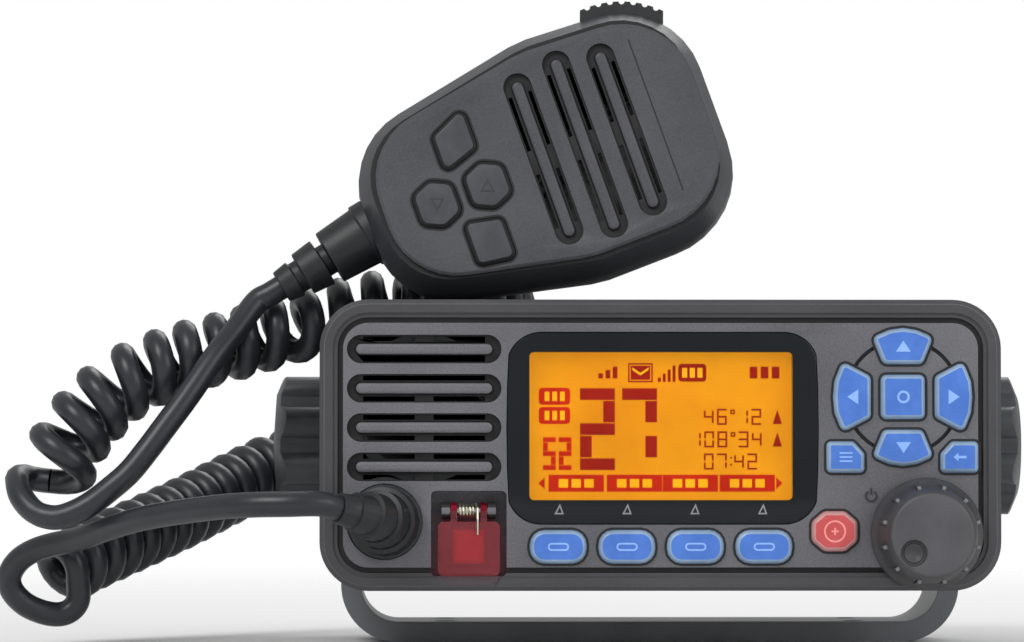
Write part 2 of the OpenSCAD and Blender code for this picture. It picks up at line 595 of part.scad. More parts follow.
module front_case() color("#55565a") difference() {
    union() {
        panel(front_y + edge_bevel, case_back_y) case_outline();
        // Bevel round the front, and the rim on it
        hull() {
            panel(front_y + edge_bevel, front_y + edge_bevel + 0.1) case_outline($fn = hull_fn);
            panel(front_y + 0.2, front_y + 0.3) case_outline(-edge_bevel, $fn = hull_fn);
        }
        panel(front_y, front_y + 0.5) case_outline(-edge_bevel - 0.2);
    }
    // Stepped groove between the rim and the panel
    panel(front_y - 1, front_y + 0.7) difference() {
        case_outline(-rim_in);
        case_outline(-panel_in);
    }
    panel(front_y - 1, front_y + 1.5) difference() {
        case_outline(-rim_in - 1.1);
        case_outline(-panel_in);
    }
    panel(front_y - 1, panel_y) case_outline(-panel_in);
    // Hollow, wider behind the ledge that the seal lies on
    difference() {
        panel(face_back_y, ledge_y + 0.01) round_rect(inner_w, inner_h, case_corner - case_wall - ledge_w);
        jack_well();
        bay_walls();
        for (x = [-1, 1], z = [-1, 1]) y_rod([x*boss_at.x, pivot_z + z*boss_at.y],
            face_back_y + 11, flange_y, boss_r, boss_r);
    }
    difference() {
        panel(ledge_y, case_back_y + 1)
            round_rect(case_w - 2*case_wall, case_h - 2*case_wall, case_corner - case_wall);
        for (x = [-1, 1], z = [-1, 1]) y_rod([x*boss_at.x, pivot_z + z*boss_at.y],
            ledge_y - 1, flange_y, boss_r, boss_r);
    }
    for (x = [-1, 1], z = [-1, 1]) y_rod([x*boss_at.x, pivot_z + z*boss_at.y],
        flange_y - 11, flange_y + 1, screw_r, screw_r);
    // Ring slots, and the sound slits in their flanks
    for (i = [0:slot_count - 1]) {
        panel(front_y - 1, front_y + 1.8) translate([slots_x, slots_z - i*slot_pitch])
            slot_ring(slot_w, slot_h, slot_bar);
        for (half = [-1, 1], flank = [-1, 1]) panel(front_y, face_back_y + 1)
            translate([slots_x + half*(slot_w/4 - 0.8), slots_z - i*slot_pitch + flank*(slot_h + slot_bar)/4])
                square([slot_w/2 - 6, (slot_h - slot_bar)/2 - 0.7], center = true);
    }
    // Lens pocket and display window
    panel(front_y - 1, front_y + lens_t - 0.2) lens_outline(seat);
    panel(front_y, face_back_y + 1) translate(lcd_at) square([lcd_w, lcd_h], center = true);
    // Key openings
    for (k = PANEL_KEYS) panel(front_y - 1, face_back_y + 1) key_outline(k, key_gap);
    // Ring groove among the arrow keys
    panel(front_y - 1, front_y + 0.9) translate(dpad_at) difference() {
        circle(13.8*pad);
        circle(12.9*pad);
    }
    // Encoder bush, jack and distress bay
    y_rod(encoder_at, front_y - 1, face_back_y + 1, bush_r + slip, bush_r + slip);
    y_rod([jack_at.x, pivot_z + jack_at.y], front_y - 1, jack_floor_y, jack_r, jack_r);
    y_rod([jack_at.x, pivot_z + jack_at.y], front_y, jack_floor_y + 5, socket_r + slip, socket_r + slip);
    bay_hollow();
}

module jack_well() y_rod([jack_at.x, pivot_z + jack_at.y], front_y + 1,
    jack_floor_y + jack_wall, jack_r + jack_wall, jack_r + jack_wall);

module bay_walls() panel(front_y + 1, bay_floor_y + bay_floor_t) bay_outline(1.2);

// The bay's hollow round the lugs that hold the hinge pin
module bay_hollow() {
    difference() {
        panel(front_y - 1, bay_floor_y) bay_outline();
        for (side = [-1, 1]) hinge_lug(side);
    }
    translate([bay_at.x - lug_x - lug_w, hinge_y, pivot_z + hinge_z]) rotate([0, 90, 0])
        cylinder(h = 2*(lug_x + lug_w), r = pin_r + slip);
    panel(bay_floor_y - 1, bay_floor_y + bay_floor_t + 1) translate([bay_at.x, button_z])
        square([button_w + 2*apart, button_h + 2*apart], center = true);
    // Finger notch in the rim below the cover
    panel(front_y - 1, front_y + 1.6) translate([bay_at.x, bay_at.y - bay_h/2])
        polygon([[-bay_w/2 + 0.8, 0.5], [-bay_w/2 + 2.4, -2.1], [bay_w/2 - 2.4, -2.1], [bay_w/2 - 0.8, 0.5]]);
}

module hinge_lug(side) translate([bay_at.x + side*lug_x - lug_w/2, 0, pivot_z]) along_x(0, lug_w) {
    translate([hinge_y, hinge_z]) circle(barrel_r);
    translate([hinge_y, hinge_z - barrel_r]) square([bay_floor_y - hinge_y + 0.5, 2*barrel_r]);
}

module display_lens() color([0.07, 0.08, 0.09, 0.6])
    panel(front_y - 0.1, front_y + lens_t - 0.2) lens_outline();

module lcd_frame() color("#dcdcd8") panel(face_back_y, board_y) translate(lcd_at) difference() {
    square([lcd_w + 7.6, lcd_h + 6], center = true);
    square([lcd_w + 4, lcd_h + 3], center = true);
}

module lcd_panel() color([1, 0.67, 0.1]) panel(face_back_y, face_back_y + lcd_glass_t)
    translate(lcd_at) square([lcd_w + 4 - 2*seat, lcd_h + 3 - 2*seat], center = true);

module key_board() color("#2f6b45") {
    difference() {
        panel(board_y, board_y + board_t) {
            translate([bay_at.x + bay_w/2 - 1, -inner_h/2 + 1])
                square([inner_w/2 - bay_at.x - bay_w/2, inner_h - 2]);
            translate([bay_at.x - bay_w/2 + 1, -inner_h/2 + 1]) square([bay_w, bay_h - 1]);
        }
        // Clear of the loudspeaker
        y_rod([speaker_at.x, pivot_z + speaker_at.y], board_y - 1, board_y + board_t + 1,
            speaker_r + 1, speaker_r + 1);
    }
    for (k = PANEL_KEYS) y_rod([k[1], pivot_z + k[2]], board_y - switch_h, board_y, 2, 2);
    y_rod([bay_at.x, pivot_z + button_z], bay_floor_y + bay_floor_t + 0.7 + button_travel, board_y, 2, 2);
}

// ---------------------------------------------------------------- keys

module panel_key(k) color(k[5]) {
    hull() {
        panel(front_y, face_back_y) key_outline(k);
        panel(front_y - key_proud + 0.3, front_y - key_proud + 0.4) key_outline(k, -key_bevel*0.5);
        panel(front_y - key_proud, front_y - key_proud + 0.1) key_outline(k, -key_bevel);
    }
    panel(face_back_y, face_back_y + key_flange_t) key_outline(k, key_lip);
    panel(face_back_y + key_flange_t, key_stem_y) translate([k[1], k[2]]) square([4, 4], center = true);
}

// ---------------------------------------------------------------- volume knob

module encoder_body() color("#8f9296") difference() {
    union() {
        panel(face_back_y, board_y) translate(volume_at) square(encoder_w, center = true);
        y_rod(encoder_at, front_y, face_back_y + 1, bush_r, bush_r);
    }
    y_rod(encoder_at, front_y - 1, board_y - 1, shaft_r + slip, shaft_r + slip);
    y_rod(encoder_at, plunger_y - 0.6, board_y + 1, shaft_r + 1.2, shaft_r + 1.2);
}

module encoder_plunger() color("#d8d8d4")
    y_rod(encoder_at, plunger_y, plunger_y + plunger_t, shaft_r + 1.1, shaft_r + 1.1);

module d_rod(y0, y1, r, flat) intersection() {
    y_rod(encoder_at, y0, y1, r, r);
    translate([encoder_at.x - r - 1, y0 - 1, encoder_at.y - r - 1])
        cube([2*r + 2, y1 - y0 + 2, r + 1 + flat]);
}

module encoder_shaft() color("#b4b6b8") {
    y_rod(encoder_at, front_y - 1.2, plunger_y, shaft_r, shaft_r);
    d_rod(shaft_front_y, front_y - 1.2, shaft_r, shaft_r - 1);
}

module volume_knob() color("#26272a") difference() {
    union() {
        translate([encoder_at.x, knob_y, encoder_at.y]) rotate([90, 0, 0]) rotate_extrude()
            polygon([[0, 0], [knob_r, 0], [knob_r, 1.6], [knob_r - 1.4, 3.2], [knob_r - 2.2, 4.4],
                     [knob_r - 2.9, knob_h - 1.6], [knob_r - 3.7, knob_h - 0.3],
                     [knob_r - 4.4, knob_h], [0, knob_h]]);
        for (i = [0:knob_ribs - 1]) translate([encoder_at.x, 0, encoder_at.y]) rotate([0, 360*i/knob_ribs, 0])
            translate([knob_r - 2.6, knob_y - 1.5, 0]) rotate([90, 0, 0]) cylinder(h = knob_h - 3.6, r = 1.5);
    }
    // Hollow round the hub
    difference() {
        y_rod(encoder_at, knob_face_y + 3.4, knob_y + 1, knob_r - 4.6, knob_r - 4.6);
        y_rod(encoder_at, knob_face_y, knob_y + 2, shaft_r + 1.9, shaft_r + 1.9);
    }
    y_rod(encoder_at, knob_y - 1.8, knob_y + 1, bush_r + 1.2, bush_r + 1.2);
    d_rod(shaft_front_y, knob_y + 1, shaft_r + 0.02, shaft_r - 0.98);
    // Finger dimple
    translate([encoder_at.x - 4.8, knob_face_y - 1.7, encoder_at.y - 4.1]) sphere(3.1);
}

// ---------------------------------------------------------------- distress key

module distress_cover() color([0.6, 0.13, 0.18, 0.75]) {
    translate([bay_at.x, 0, 0]) {
        panel(cover_y, cover_y + cover_t) translate([0, (cover_top_z + cover_bottom_z)/2])
            cut_rect(cover_w, cover_top_z - cover_bottom_z, 0.9);
        // Lip that a fingertip lifts
        panel(cover_y - 0.7, cover_y + 0.1) translate([0, cover_bottom_z + 1.2]) square([cover_w - 3, 1.6], center = true);
    }
    for (side = [-1, 1]) difference() {
        translate([bay_at.x + side*barrel_x - barrel_w/2, 0, pivot_z]) along_x(0, barrel_w) {
            translate([hinge_y, hinge_z]) circle(barrel_r);
            polygon([[hinge_y - barrel_r, hinge_z], [hinge_y + 0.6, hinge_z], [cover_y + cover_t, cover_top_z - 0.6],
                     [cover_y, cover_top_z - 0.6], [cover_y, cover_top_z]]);
        }
        translate([bay_at.x + side*barrel_x - barrel_w, hinge_y, pivot_z + hinge_z]) rotate([0, 90, 0])
            cylinder(h = 2*barrel_w, r = pin_r + slip);
    }
}

module cover_hinge_pin() color("#c9cbcc")
    translate([bay_at.x - lug_x - lug_w/2, hinge_y, pivot_z + hinge_z]) rotate([0, 90, 0])
        cylinder(h = 2*lug_x + lug_w, r = pin_r);

// Torsion spring round the pin, with a leg that lies on the cover
module cover_spring() color("#d8d6c8") {
    half = barrel_x - barrel_w/2 - 0.3 - spring_wire/2;
    n = spring_coils*12 + 9;
    coil = [for (i = [0:n]) [bay_at.x - half + 2*half*i/n,
        hinge_y - (spring_r - spring_wire/2)*sin(30*i), pivot_z + hinge_z + (spring_r - spring_wire/2)*cos(30*i)]];
    leg = [for (z = [-2, -3.5, -5.6]) [bay_at.x + half - 0.1, cover_y - spring_wire/2 - 0.1, pivot_z + hinge_z + z]];
    route = concat([for (i = [0:n - 9]) coil[i]],
        [[bay_at.x + half*0.8, hinge_y - 1.2, pivot_z + hinge_z + 1.6],
         [bay_at.x + half*0.95, hinge_y - 2.2, pivot_z + hinge_z + 0.6], leg[0], leg[1], leg[2]]);
    tube(route, [for (p = route) spring_wire/2], 6);
}

module distress_button() color("#d8323c") {
    hull() {
        panel(button_y, button_y + 0.1) translate([bay_at.x, button_z]) square([button_w - 1.6, button_h - 1.6], center = true);
        panel(button_y + 0.7, bay_floor_y) translate([bay_at.x, button_z]) square([button_w, button_h], center = true);
    }
    panel(bay_floor_y, bay_floor_y + bay_floor_t) translate([bay_at.x, button_z]) square([button_w, button_h], center = true);
    panel(bay_floor_y + bay_floor_t, bay_floor_y + bay_floor_t + 0.6) translate([bay_at.x, button_z])
        square([button_w + 2, button_h + 2], center = true);
}

// ---------------------------------------------------------------- jack and loudspeaker

module mic_socket() color("#2a2b2d") difference() {
    at = [jack_at.x, pivot_z + jack_at.y];
    union() {
        y_rod(at, jack_floor_y - 1.2, jack_floor_y, jack_r - 0.6, jack_r - 0.6);
        y_rod(at, jack_floor_y - 1, jack_floor_y + 9, socket_r, socket_r);
        translate([at.x, jack_floor_y + jack_wall + 2.2, at.y]) rotate([90, 0, 0]) cylinder(h = 2.2, r = 8.4, $fn = 6);
    }
    y_rod(at, jack_floor_y - 2, jack_floor_y + 5, 4, 4);
}

module speaker_frame() color("#4a4c50") translate([speaker_at.x, face_back_y, pivot_z + speaker_at.y])
    rotate([-90, 0, 0]) rotate_extrude()
        polygon([[speaker_r - 2.5, 0], [speaker_r, 0], [speaker_r, 1.4], [speaker_r - 1.6, 1.6],
                 [10.4, 9], [10.4, 17], [0, 17], [0, 12], [8.8, 12], [8.8, 8.4], [speaker_r - 2.5, 1.2]]);

module speaker_cone() color("#2b2b2b") translate([speaker_at.x, face_back_y, pivot_z + speaker_at.y])
    rotate([-90, 0, 0]) rotate_extrude()
        polygon([[0, 4.4], [4, 5.2], [6, 7], [speaker_r - 4.4, 1.4], [speaker_r - 2.5, 0.2],
                 [speaker_r - 2.5, 0.8], [speaker_r - 4.2, 2], [6, 8], [4, 8], [4, 12], [0, 12]]);

// ---------------------------------------------------------------- chassis

module rear_chassis() color("#2e3033") difference() {
    union() {
        panel(flange_y, case_back_y) round_rect(flange_w, flange_h, case_corner - case_wall - 0.4);
        panel(case_back_y - 0.5, chassis_wall_y) round_rect(chassis_w, chassis_h, 4);
        // Heat-sink fins across the back, left out where the sockets are
        for (x = [-floor(chassis_w/2/fin_pitch - 0.2) : floor(chassis_w/2/fin_pitch - 0.2)])
            if (x*fin_pitch > connector_x1 || x*fin_pitch < connector_x0)
                panel(chassis_wall_y - 0.5, chassis_back_y) translate([x*fin_pitch, 0])
                    square([fin_t, chassis_h - 3], center = true);
            else
                panel(chassis_wall_y - 0.5, chassis_back_y) translate([x*fin_pitch, chassis_h/2 - 1.5 - 7.5])
                    square([fin_t, 15], center = true);
    }
    difference() {
        panel(flange_y - 1, chassis_wall_y - chassis_wall) round_rect(chassis_in_w, chassis_in_h, 3);
        // Threaded side bosses, board posts
        for (side = [-1, 1]) on_side(side) pivot_rod(chassis_w/2 - chassis_wall - 6, chassis_w/2, 6);
        for (x = [-1, 1], y = [0, 1]) translate([x*(chassis_in_w/2 - 5), case_back_y + 6 + y*45, pivot_z - chassis_in_h/2 - 1])
            cylinder(h = post_h + 1, r = 3);
    }
    for (side = [-1, 1]) on_side(side) pivot_rod(chassis_w/2 - 9, chassis_w/2 + 1, stud_r);
    for (x = [-1, 1], z = [-1, 1]) y_rod([x*boss_at.x, pivot_z + z*boss_at.y],
        flange_y - 1, case_back_y + 1, screw_r + 0.2, screw_r + 0.2);
    y_rod(socket_at, chassis_wall_y - chassis_wall - 1, chassis_wall_y + 1, 5.5, 5.5);
    for (x = gland_x) y_rod([x, pivot_z + connector_z], chassis_wall_y - chassis_wall - 1,
        chassis_wall_y + 1, gland_r, gland_r);
}

module case_seal() color("#3a3a3a") difference() {
    panel(ledge_y, flange_y) round_rect(flange_w, flange_h, case_corner - case_wall - 0.4);
    panel(ledge_y - 1, flange_y + 1) round_rect(inner_w - 2, inner_h - 2, case_corner - case_wall - ledge_w - 1);
    for (x = [-1, 1], z = [-1, 1]) y_rod([x*boss_at.x, pivot_z + z*boss_at.y],
        ledge_y - 1, flange_y + 1, boss_r + 0.2, boss_r + 0.2);
}

module case_screws() color("#9a9c9e") for (x = [-1, 1], z = [-1, 1]) {
    at = [x*boss_at.x, pivot_z + z*boss_at.y];
    y_rod(at, flange_y - 9, case_back_y + 0.5, screw_r - slip, screw_r - slip);
    y_rod(at, case_back_y, case_back_y + 1.8, 2.7, 2.7);
}

module main_board() color("#2f6b45") {
    translate([0, case_back_y + 28, board_z + board_t/2]) cube([chassis_in_w - 4, 58, board_t], center = true);
    translate([-30, case_back_y + 20, board_z + board_t + 1.4]) cube([36, 26, 3], center = true);
    translate([28, case_back_y + 16, board_z + board_t + 0.9]) cube([16, 16, 2], center = true);
    for (x = [2, 12]) translate([x, case_back_y + 38, board_z + board_t - 0.1]) cylinder(h = 11, r = 4);
}

module power_module() color("#5a5d60") difference() {
    translate([-36, chassis_wall_y - chassis_wall - 9, pivot_z - 2]) cube([52, 9, 14]);
    for (x = [-1, 1]) y_rod([-10 + x*21, pivot_z + 5], chassis_wall_y - chassis_wall - 10, chassis_wall_y, 1.6, 1.6);
}

module antenna_socket() color("#c2c4c6") {
    difference() {
        union() {
            translate([socket_at.x - 12, chassis_wall_y, socket_at.y - 12]) cube([24, 2.4, 24]);
            y_rod(socket_at, chassis_wall_y + 2, chassis_wall_y + 2.4 + so_thread_len, so_thread_r, so_thread_r);
            y_rod(socket_at, chassis_wall_y - chassis_wall - 3, chassis_wall_y + 1, 5.4, 5.4);
        }
        y_rod(socket_at, chassis_wall_y + 5, chassis_wall_y + 4 + so_thread_len, 6, 6);
        for (x = [-1, 1], z = [-1, 1])
            y_rod([socket_at.x + x*9.1, socket_at.y + z*9.1], chassis_wall_y - 1, chassis_wall_y + 4, 1.6, 1.6);
    }
    difference() {
        y_rod(socket_at, chassis_wall_y + 4, chassis_wall_y + 1 + so_thread_len, 3, 3);
        y_rod(socket_at, chassis_wall_y + 6, chassis_wall_y + 4 + so_thread_len, 2, 2);
    }
}

module lead_glands() color("#1c1c1e") for (x = gland_x) {
    at = [x, pivot_z + connector_z];
    difference() {
        union() {
            y_rod(at, chassis_wall_y - chassis_wall - 2, chassis_wall_y + 0.5, gland_r - 0.1, gland_r - 0.1);
            y_rod(at, chassis_wall_y, chassis_wall_y + 2, 5.8, 5.8);
            y_rod(at, chassis_wall_y + 1.5, chassis_wall_y + 11, 4.6, 3.6);
        }
        y_rod(at, chassis_wall_y + 3, chassis_wall_y + 12, 2.4, 2.4);
    }
}

// ---------------------------------------------------------------- microphone

module mic_key_outline(k, grow = 0)
    translate([k[1], k[2]]) hull() for (c = k[3]) translate(c) circle(k[4] + grow, $fn = 16);

// The window that the push-to-talk bar slides in, seen along its own travel
module ptt_frame() translate([MIC_BODY[0][0], MIC_BODY[0][1], -ptt_mid]) rotate([0, 0, ptt_angle])
    translate([MIC_BODY[0][2], 0, 0]) children();

module ptt_window(grow, inward) ptt_frame()
    translate([-inward, -ptt_len/2 - grow, -ptt_w/2 - grow])
        cube([inward + 12, ptt_len + 2*grow, ptt_w + 2*grow]);

module mic_front_case() color("#4b4c50") in_mic() difference() {
    union() {
        mic_form(MIC_BODY, concat([[mic_step + 0.4, -3.4]], MIC_FRONT));
        // Face plate, standing a little out of the body
        mic_form(MIC_FACE, [[0, -0.7], [0.5, 0], [mic_step + 2, 0.4]]);
    }
    difference() {
        mic_form(MIC_BODY, [[mic_wall, -mic_wall - 4], [8, -mic_wall - 0.4], [mic_split + 1, -mic_wall]]);
        translate([0, 0, -mic_face_in]) linear_extrude(10)
            square(200, center = true);
    }
    for (s = mic_slots) {
        translate([s[0], 0, -1.3]) linear_extrude(3) rotate(90) slot_ring(s[1], mic_slot_w, mic_slot_bar);
        for (half = [-1, 1], flank = [-1, 1])
            translate([s[0] + flank*(mic_slot_w + mic_slot_bar)/4, half*(s[1]/4 - 1), -mic_wall - 1])
                linear_extrude(4) square([0.9, s[1]/2 - 8], center = true);
    }
    for (k = MIC_KEYS) translate([0, 0, -mic_wall - 1]) linear_extrude(5) mic_key_outline(k, key_gap);
    // Room for the keys' flanges, pressed or not
    for (k = MIC_KEYS) translate([0, 0, -mic_face_in - mic_flange_t - mic_key_travel - 0.3])
        linear_extrude(mic_flange_t + mic_key_travel + 0.3) mic_key_outline(k, 0.6);
    ptt_window(apart, 9);
    relief_seat();
}

module mic_rear_case() color("#313336") in_mic() difference() {
    mic_form(MIC_BODY, MIC_REAR);
    mic_form(MIC_BODY, [for (s = MIC_REAR) [min(s[0], mic_depth - mic_wall) - (s[0] == mic_split ? 1 : 0),
        s[1] - mic_wall - (s[0] > mic_depth - 3 ? 1.5 : 0)]]);
    ptt_window(apart, 9);
    relief_seat();
    translate([0, 0, -mic_depth - 1]) cylinder(h = mic_wall + 2, r = 3);
}

module mic_key(k) color("#3d3e41") in_mic() {
    hull() {
        translate([0, 0, -mic_face_in]) linear_extrude(mic_face_in + 0.1) mic_key_outline(k);
        translate([0, 0, mic_key_proud - 0.1]) linear_extrude(0.1) mic_key_outline(k, -0.9);
    }
    translate([0, 0, -mic_face_in - mic_flange_t]) linear_extrude(mic_flange_t) mic_key_outline(k, 0.35);
}

module ptt_button() color("#232426") in_mic() {
    difference() {
        intersection() {
            translate([MIC_BODY[0][0], MIC_BODY[0][1], -ptt_mid - ptt_w/2])
                cylinder(h = ptt_w, r = MIC_BODY[0][2] + ptt_proud);
            ptt_window(0, ptt_flange_in);
        }
        // Finger grooves
        for (i = [-3:3]) translate([MIC_BODY[0][0], MIC_BODY[0][1], -ptt_mid - ptt_w/2 - 1])
            rotate([0, 0, ptt_angle + i*7]) translate([MIC_BODY[0][2] + ptt_proud, 0, 0])
                cylinder(h = ptt_w + 2, r = 0.7);
    }
    ptt_frame() translate([-ptt_flange_in - 1.2, -ptt_len/2 - 1, -ptt_w/2 + 0.4])
        cube([1.2, ptt_len + 2, ptt_w - 0.8]);
}

module mic_board() color("#2f6b45") in_mic() {
    translate([0, 0, mic_board_z - mic_board_t]) linear_extrude(mic_board_t) {
        translate([-30, -13]) square([62, 26]);
        translate([-26, -17]) square([16, 34]);
    }
    for (k = MIC_KEYS) translate([k[1], k[2], mic_board_z]) cylinder(h = 0.6, r = 2);
}

module mic_capsule() color("#b8babc") in_mic()
    translate([10.5, 0, mic_board_z]) cylinder(h = -mic_board_z - mic_face_in, r = 4.8);

module mic_hanger() color("#b8babc") in_mic() {
    translate([0, 0, -mic_depth - 4]) cylinder(h = 7, r = 2.95);
    translate([0, 0, -mic_depth - 4]) cylinder(h = 4, r = 4.5);
    translate([0, 0, -mic_depth - 6.5]) cylinder(h = 2.5, r = 8);
}

module relief_frame() translate(relief_at) rotate([0, 0, relief_bend]) rotate([0, -90, 0]) children();

// Seat of the strain relief in both shells
module relief_seat() relief_frame() {
    translate([0, 0, -9]) cylinder(h = 14, r = relief_neck + seat);
    cylinder(h = 6, r = RELIEF[0][2] + seat);
}

module mic_strain_relief() color("#1e2022") in_mic() relief_frame() {
    translate([0, 0, -4]) cylinder(h = 8, r = relief_neck);
    translate([0, 0, 2]) cylinder(h = relief_len - 2, r = relief_core);
    for (s = RELIEF) translate([0, 0, s[0]]) cylinder(h = s[1] - s[0], r1 = s[2], r2 = s[3]);
}

// ---------------------------------------------------------------- cord

// Where the microphone's strain relief ends, and the way that the cord leaves it
relief_dir_mic = [-cos(relief_bend), -sin(relief_bend), 0];
function turn_x(v, a) = [v.x, v.y*cos(a) - v.z*sin(a), v.y*sin(a) + v.z*cos(a)];
function turn_z(v, a) = [v.x*cos(a) - v.y*sin(a), v.x*sin(a) + v.y*cos(a), v.z];
function from_mic(v) = turn_x(turn_z(turn_x(v, -mic_lean), mic_tilt), 90);
RELIEF_DIR = from_mic(relief_dir_mic);
RELIEF_TIP = [mic_x, mic_y, mic_z] + from_mic(relief_at + relief_len*relief_dir_mic);
PLUG_FOOT = [jack_at.x, jack_floor_y - 1.2 - seat, pivot_z + jack_at.y];
PLUG = smooth([for (p = PLUG_ROUTE) PLUG_FOOT + p], 8);
PLUG_END = PLUG[len(PLUG) - 1];
PLUG_DIR = unit(PLUG_END - PLUG[len(PLUG) - 2]);

module cord(points) color("#232629")
    tube(points, [for (p = points) cord_d/2], 8);

module cord_mic_lead() cord(smooth(concat(
    [COIL_START + apart*unit(COIL_START - CURLS[0])], MIC_LEAD,
    [for (d = [7, 3.2, apart]) RELIEF_TIP + d*RELIEF_DIR]), 3));

module cord_jack_lead() cord(smooth(concat(
    [PLUG_END, PLUG_END + 5*PLUG_DIR], JACK_LEAD,
    [COIL_END + apart*unit(COIL_END - CURLS[last])]), 3));

module curly_cord() color("#232629") tube(COIL, [for (p = COIL) cord_d/2], 6);

module mic_plug() color("#1e2022") {
    n = len(PLUG) - 1;
    s = running(steps_of(PLUG));
    shares = [for (st = PLUG_STEPS) st[0]];
    points = [for (w = shares) at_index(PLUG, lookup(w*s[n], [for (i = [0:n]) [s[i], i]]))];
    tube(points, [for (st = PLUG_STEPS) st[1]], 16);
}

// ---------------------------------------------------------------- what is drawn

bracket();
pivot_washers();
clamp_knob(-1);  // clamp_knob_left
clamp_knob(1);  // clamp_knob_right
clamp_stud(-1);  // clamp_stud_left
clamp_stud(1);  // clamp_stud_right
clamp_washer(-1);  // clamp_washer_left
clamp_washer(1);  // clamp_washer_right
front_case();
display_lens();
lcd_frame();
lcd_panel();
key_board();
volume_knob();
encoder_shaft();
encoder_plunger();
encoder_body();
distress_cover();
cover_hinge_pin();
cover_spring();
distress_button();
mic_socket();
speaker_frame();
speaker_cone();
rear_chassis();
case_seal();
case_screws();
main_board();
power_module();
antenna_socket();
lead_glands();
mic_front_case();
mic_rear_case();
ptt_button();
mic_board();
mic_capsule();
mic_hanger();
mic_strain_relief();
mic_plug();
cord_mic_lead();
curly_cord();
cord_jack_lead();
for (k = PANEL_KEYS) panel_key(k);
for (k = MIC_KEYS) mic_key(k);
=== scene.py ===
# %% [markdown]
# # A fixed-mount VHF radio with its fist microphone
# The radio hangs between two clamp knobs in a U-shaped bracket, the microphone
# leans on top of it, and a curly cord joins the two round the left side.
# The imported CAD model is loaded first. It fixes every size, so each piece below
# is made in the same place and in the same metres, and nothing has to be fitted.

from math import atan, ceil, cos, floor, pi, radians, sin, sqrt

import bmesh
import bpy
from mathutils import Matrix, Vector


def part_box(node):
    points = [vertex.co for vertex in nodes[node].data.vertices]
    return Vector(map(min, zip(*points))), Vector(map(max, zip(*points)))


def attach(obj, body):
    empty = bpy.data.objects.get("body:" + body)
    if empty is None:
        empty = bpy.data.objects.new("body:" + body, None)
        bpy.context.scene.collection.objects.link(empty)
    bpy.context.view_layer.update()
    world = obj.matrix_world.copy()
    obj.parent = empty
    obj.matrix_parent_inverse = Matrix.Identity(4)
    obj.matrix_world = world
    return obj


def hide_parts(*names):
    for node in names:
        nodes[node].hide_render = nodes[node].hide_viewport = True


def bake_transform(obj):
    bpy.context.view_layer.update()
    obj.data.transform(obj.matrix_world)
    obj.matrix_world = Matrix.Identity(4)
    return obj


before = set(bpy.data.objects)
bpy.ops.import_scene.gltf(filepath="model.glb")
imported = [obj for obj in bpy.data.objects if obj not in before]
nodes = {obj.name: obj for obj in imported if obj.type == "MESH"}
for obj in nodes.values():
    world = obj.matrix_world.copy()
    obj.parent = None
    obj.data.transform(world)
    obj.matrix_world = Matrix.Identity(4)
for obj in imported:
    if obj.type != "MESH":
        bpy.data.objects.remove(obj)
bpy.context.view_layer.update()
MM = 0.001

# %% [markdown]
# ## The camera
# A photograph of a product like this is taken from far away with a long lens,
# so that the case keeps its square corners. The camera stands 1.27 m in front,
# a little left of the radio and level with it, and looks slightly upwards.

# %% Camera
lens = bpy.data.cameras.new("photo_camera")
lens.sensor_width = 36
lens.lens = 180.14
lens.clip_start = 0.05
camera = bpy.data.objects.new("photo_camera", lens)
camera.location = (-0.0612, -1.270, 0.0457)
aim = Vector((-0.0334, 0, 0.0789)) - camera.location
camera.rotation_euler = aim.to_track_quat("-Z", "Y").to_euler()
bpy.context.collection.objects.link(camera)
bpy.context.scene.camera = camera
bpy.context.scene.view_settings.view_transform = "Standard"
print("camera looks along", [round(c, 3) for c in aim.normalized()])

# %% [markdown]
# ## Small helpers
# Two places are used again and again. `PANEL` stands on the front panel: x runs
# to the right, y upwards from the pivots' height and z out towards the viewer.
# `MIC` is the microphone's own frame: x runs along it, y across it, and its face
# is at z = 0. A mesh is built flat in one of them and then carried to its place,
# so its object can stay at the origin as the CAD nodes do.

# %% Places and helpers
PANEL = Matrix.Translation((0, -0.070, 0.048)) @ Matrix.Rotation(radians(90), 4, "X")
MIC = (
    Matrix.Translation((-0.0272, -0.056, 0.115978))
    @ Matrix.Rotation(radians(90), 4, "X")
    @ Matrix.Rotation(radians(19.5), 4, "Z")
    @ Matrix.Rotation(radians(-7), 4, "X")
)
TO_METRES = Matrix.Diagonal((MM, MM, MM, 1))


def piece(name, bm, body, materials, place=None, stands_for=(), sharp=35):
    """Makes a finished piece of a bmesh in millimetres: carries it to its place, and ties it to its body."""
    bm.transform(TO_METRES if place is None else place @ TO_METRES)
    bmesh.ops.remove_doubles(bm, verts=bm.verts, dist=2e-6)
    bmesh.ops.recalc_face_normals(bm, faces=bm.faces)
    mesh = bpy.data.meshes.new(name)
    bm.to_mesh(mesh)
    bm.free()
    return dress(name, mesh, body, materials, stands_for, sharp)


def dress(name, mesh, body, materials, stands_for=(), sharp=35):
    """Gives a mesh its object, materials, smooth shading and body."""
    for face in mesh.polygons:
        face.use_smooth = True
    mesh.set_sharp_from_angle(angle=radians(sharp))
    for material in materials if isinstance(materials, (list, tuple)) else [materials]:
        mesh.materials.append(material)
    made = bpy.data.objects.new(name, mesh)
    bpy.context.collection.objects.link(made)
    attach(made, body)
    if stands_for:
        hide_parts(*([stands_for] if isinstance(stands_for, str) else stands_for))
    print(f"{name}: {len(mesh.polygons)} faces on {body}")
    return made


def merged(node, dist=2e-6):
    """A bmesh copy of a CAD node, its loose triangles merged and its flat faces joined."""
    bm = bmesh.new()
    bm.from_mesh(nodes[node].data)
    bmesh.ops.remove_doubles(bm, verts=bm.verts, dist=dist)
    bmesh.ops.dissolve_limit(bm, angle_limit=radians(0.6), verts=bm.verts, edges=bm.edges)
    return bm


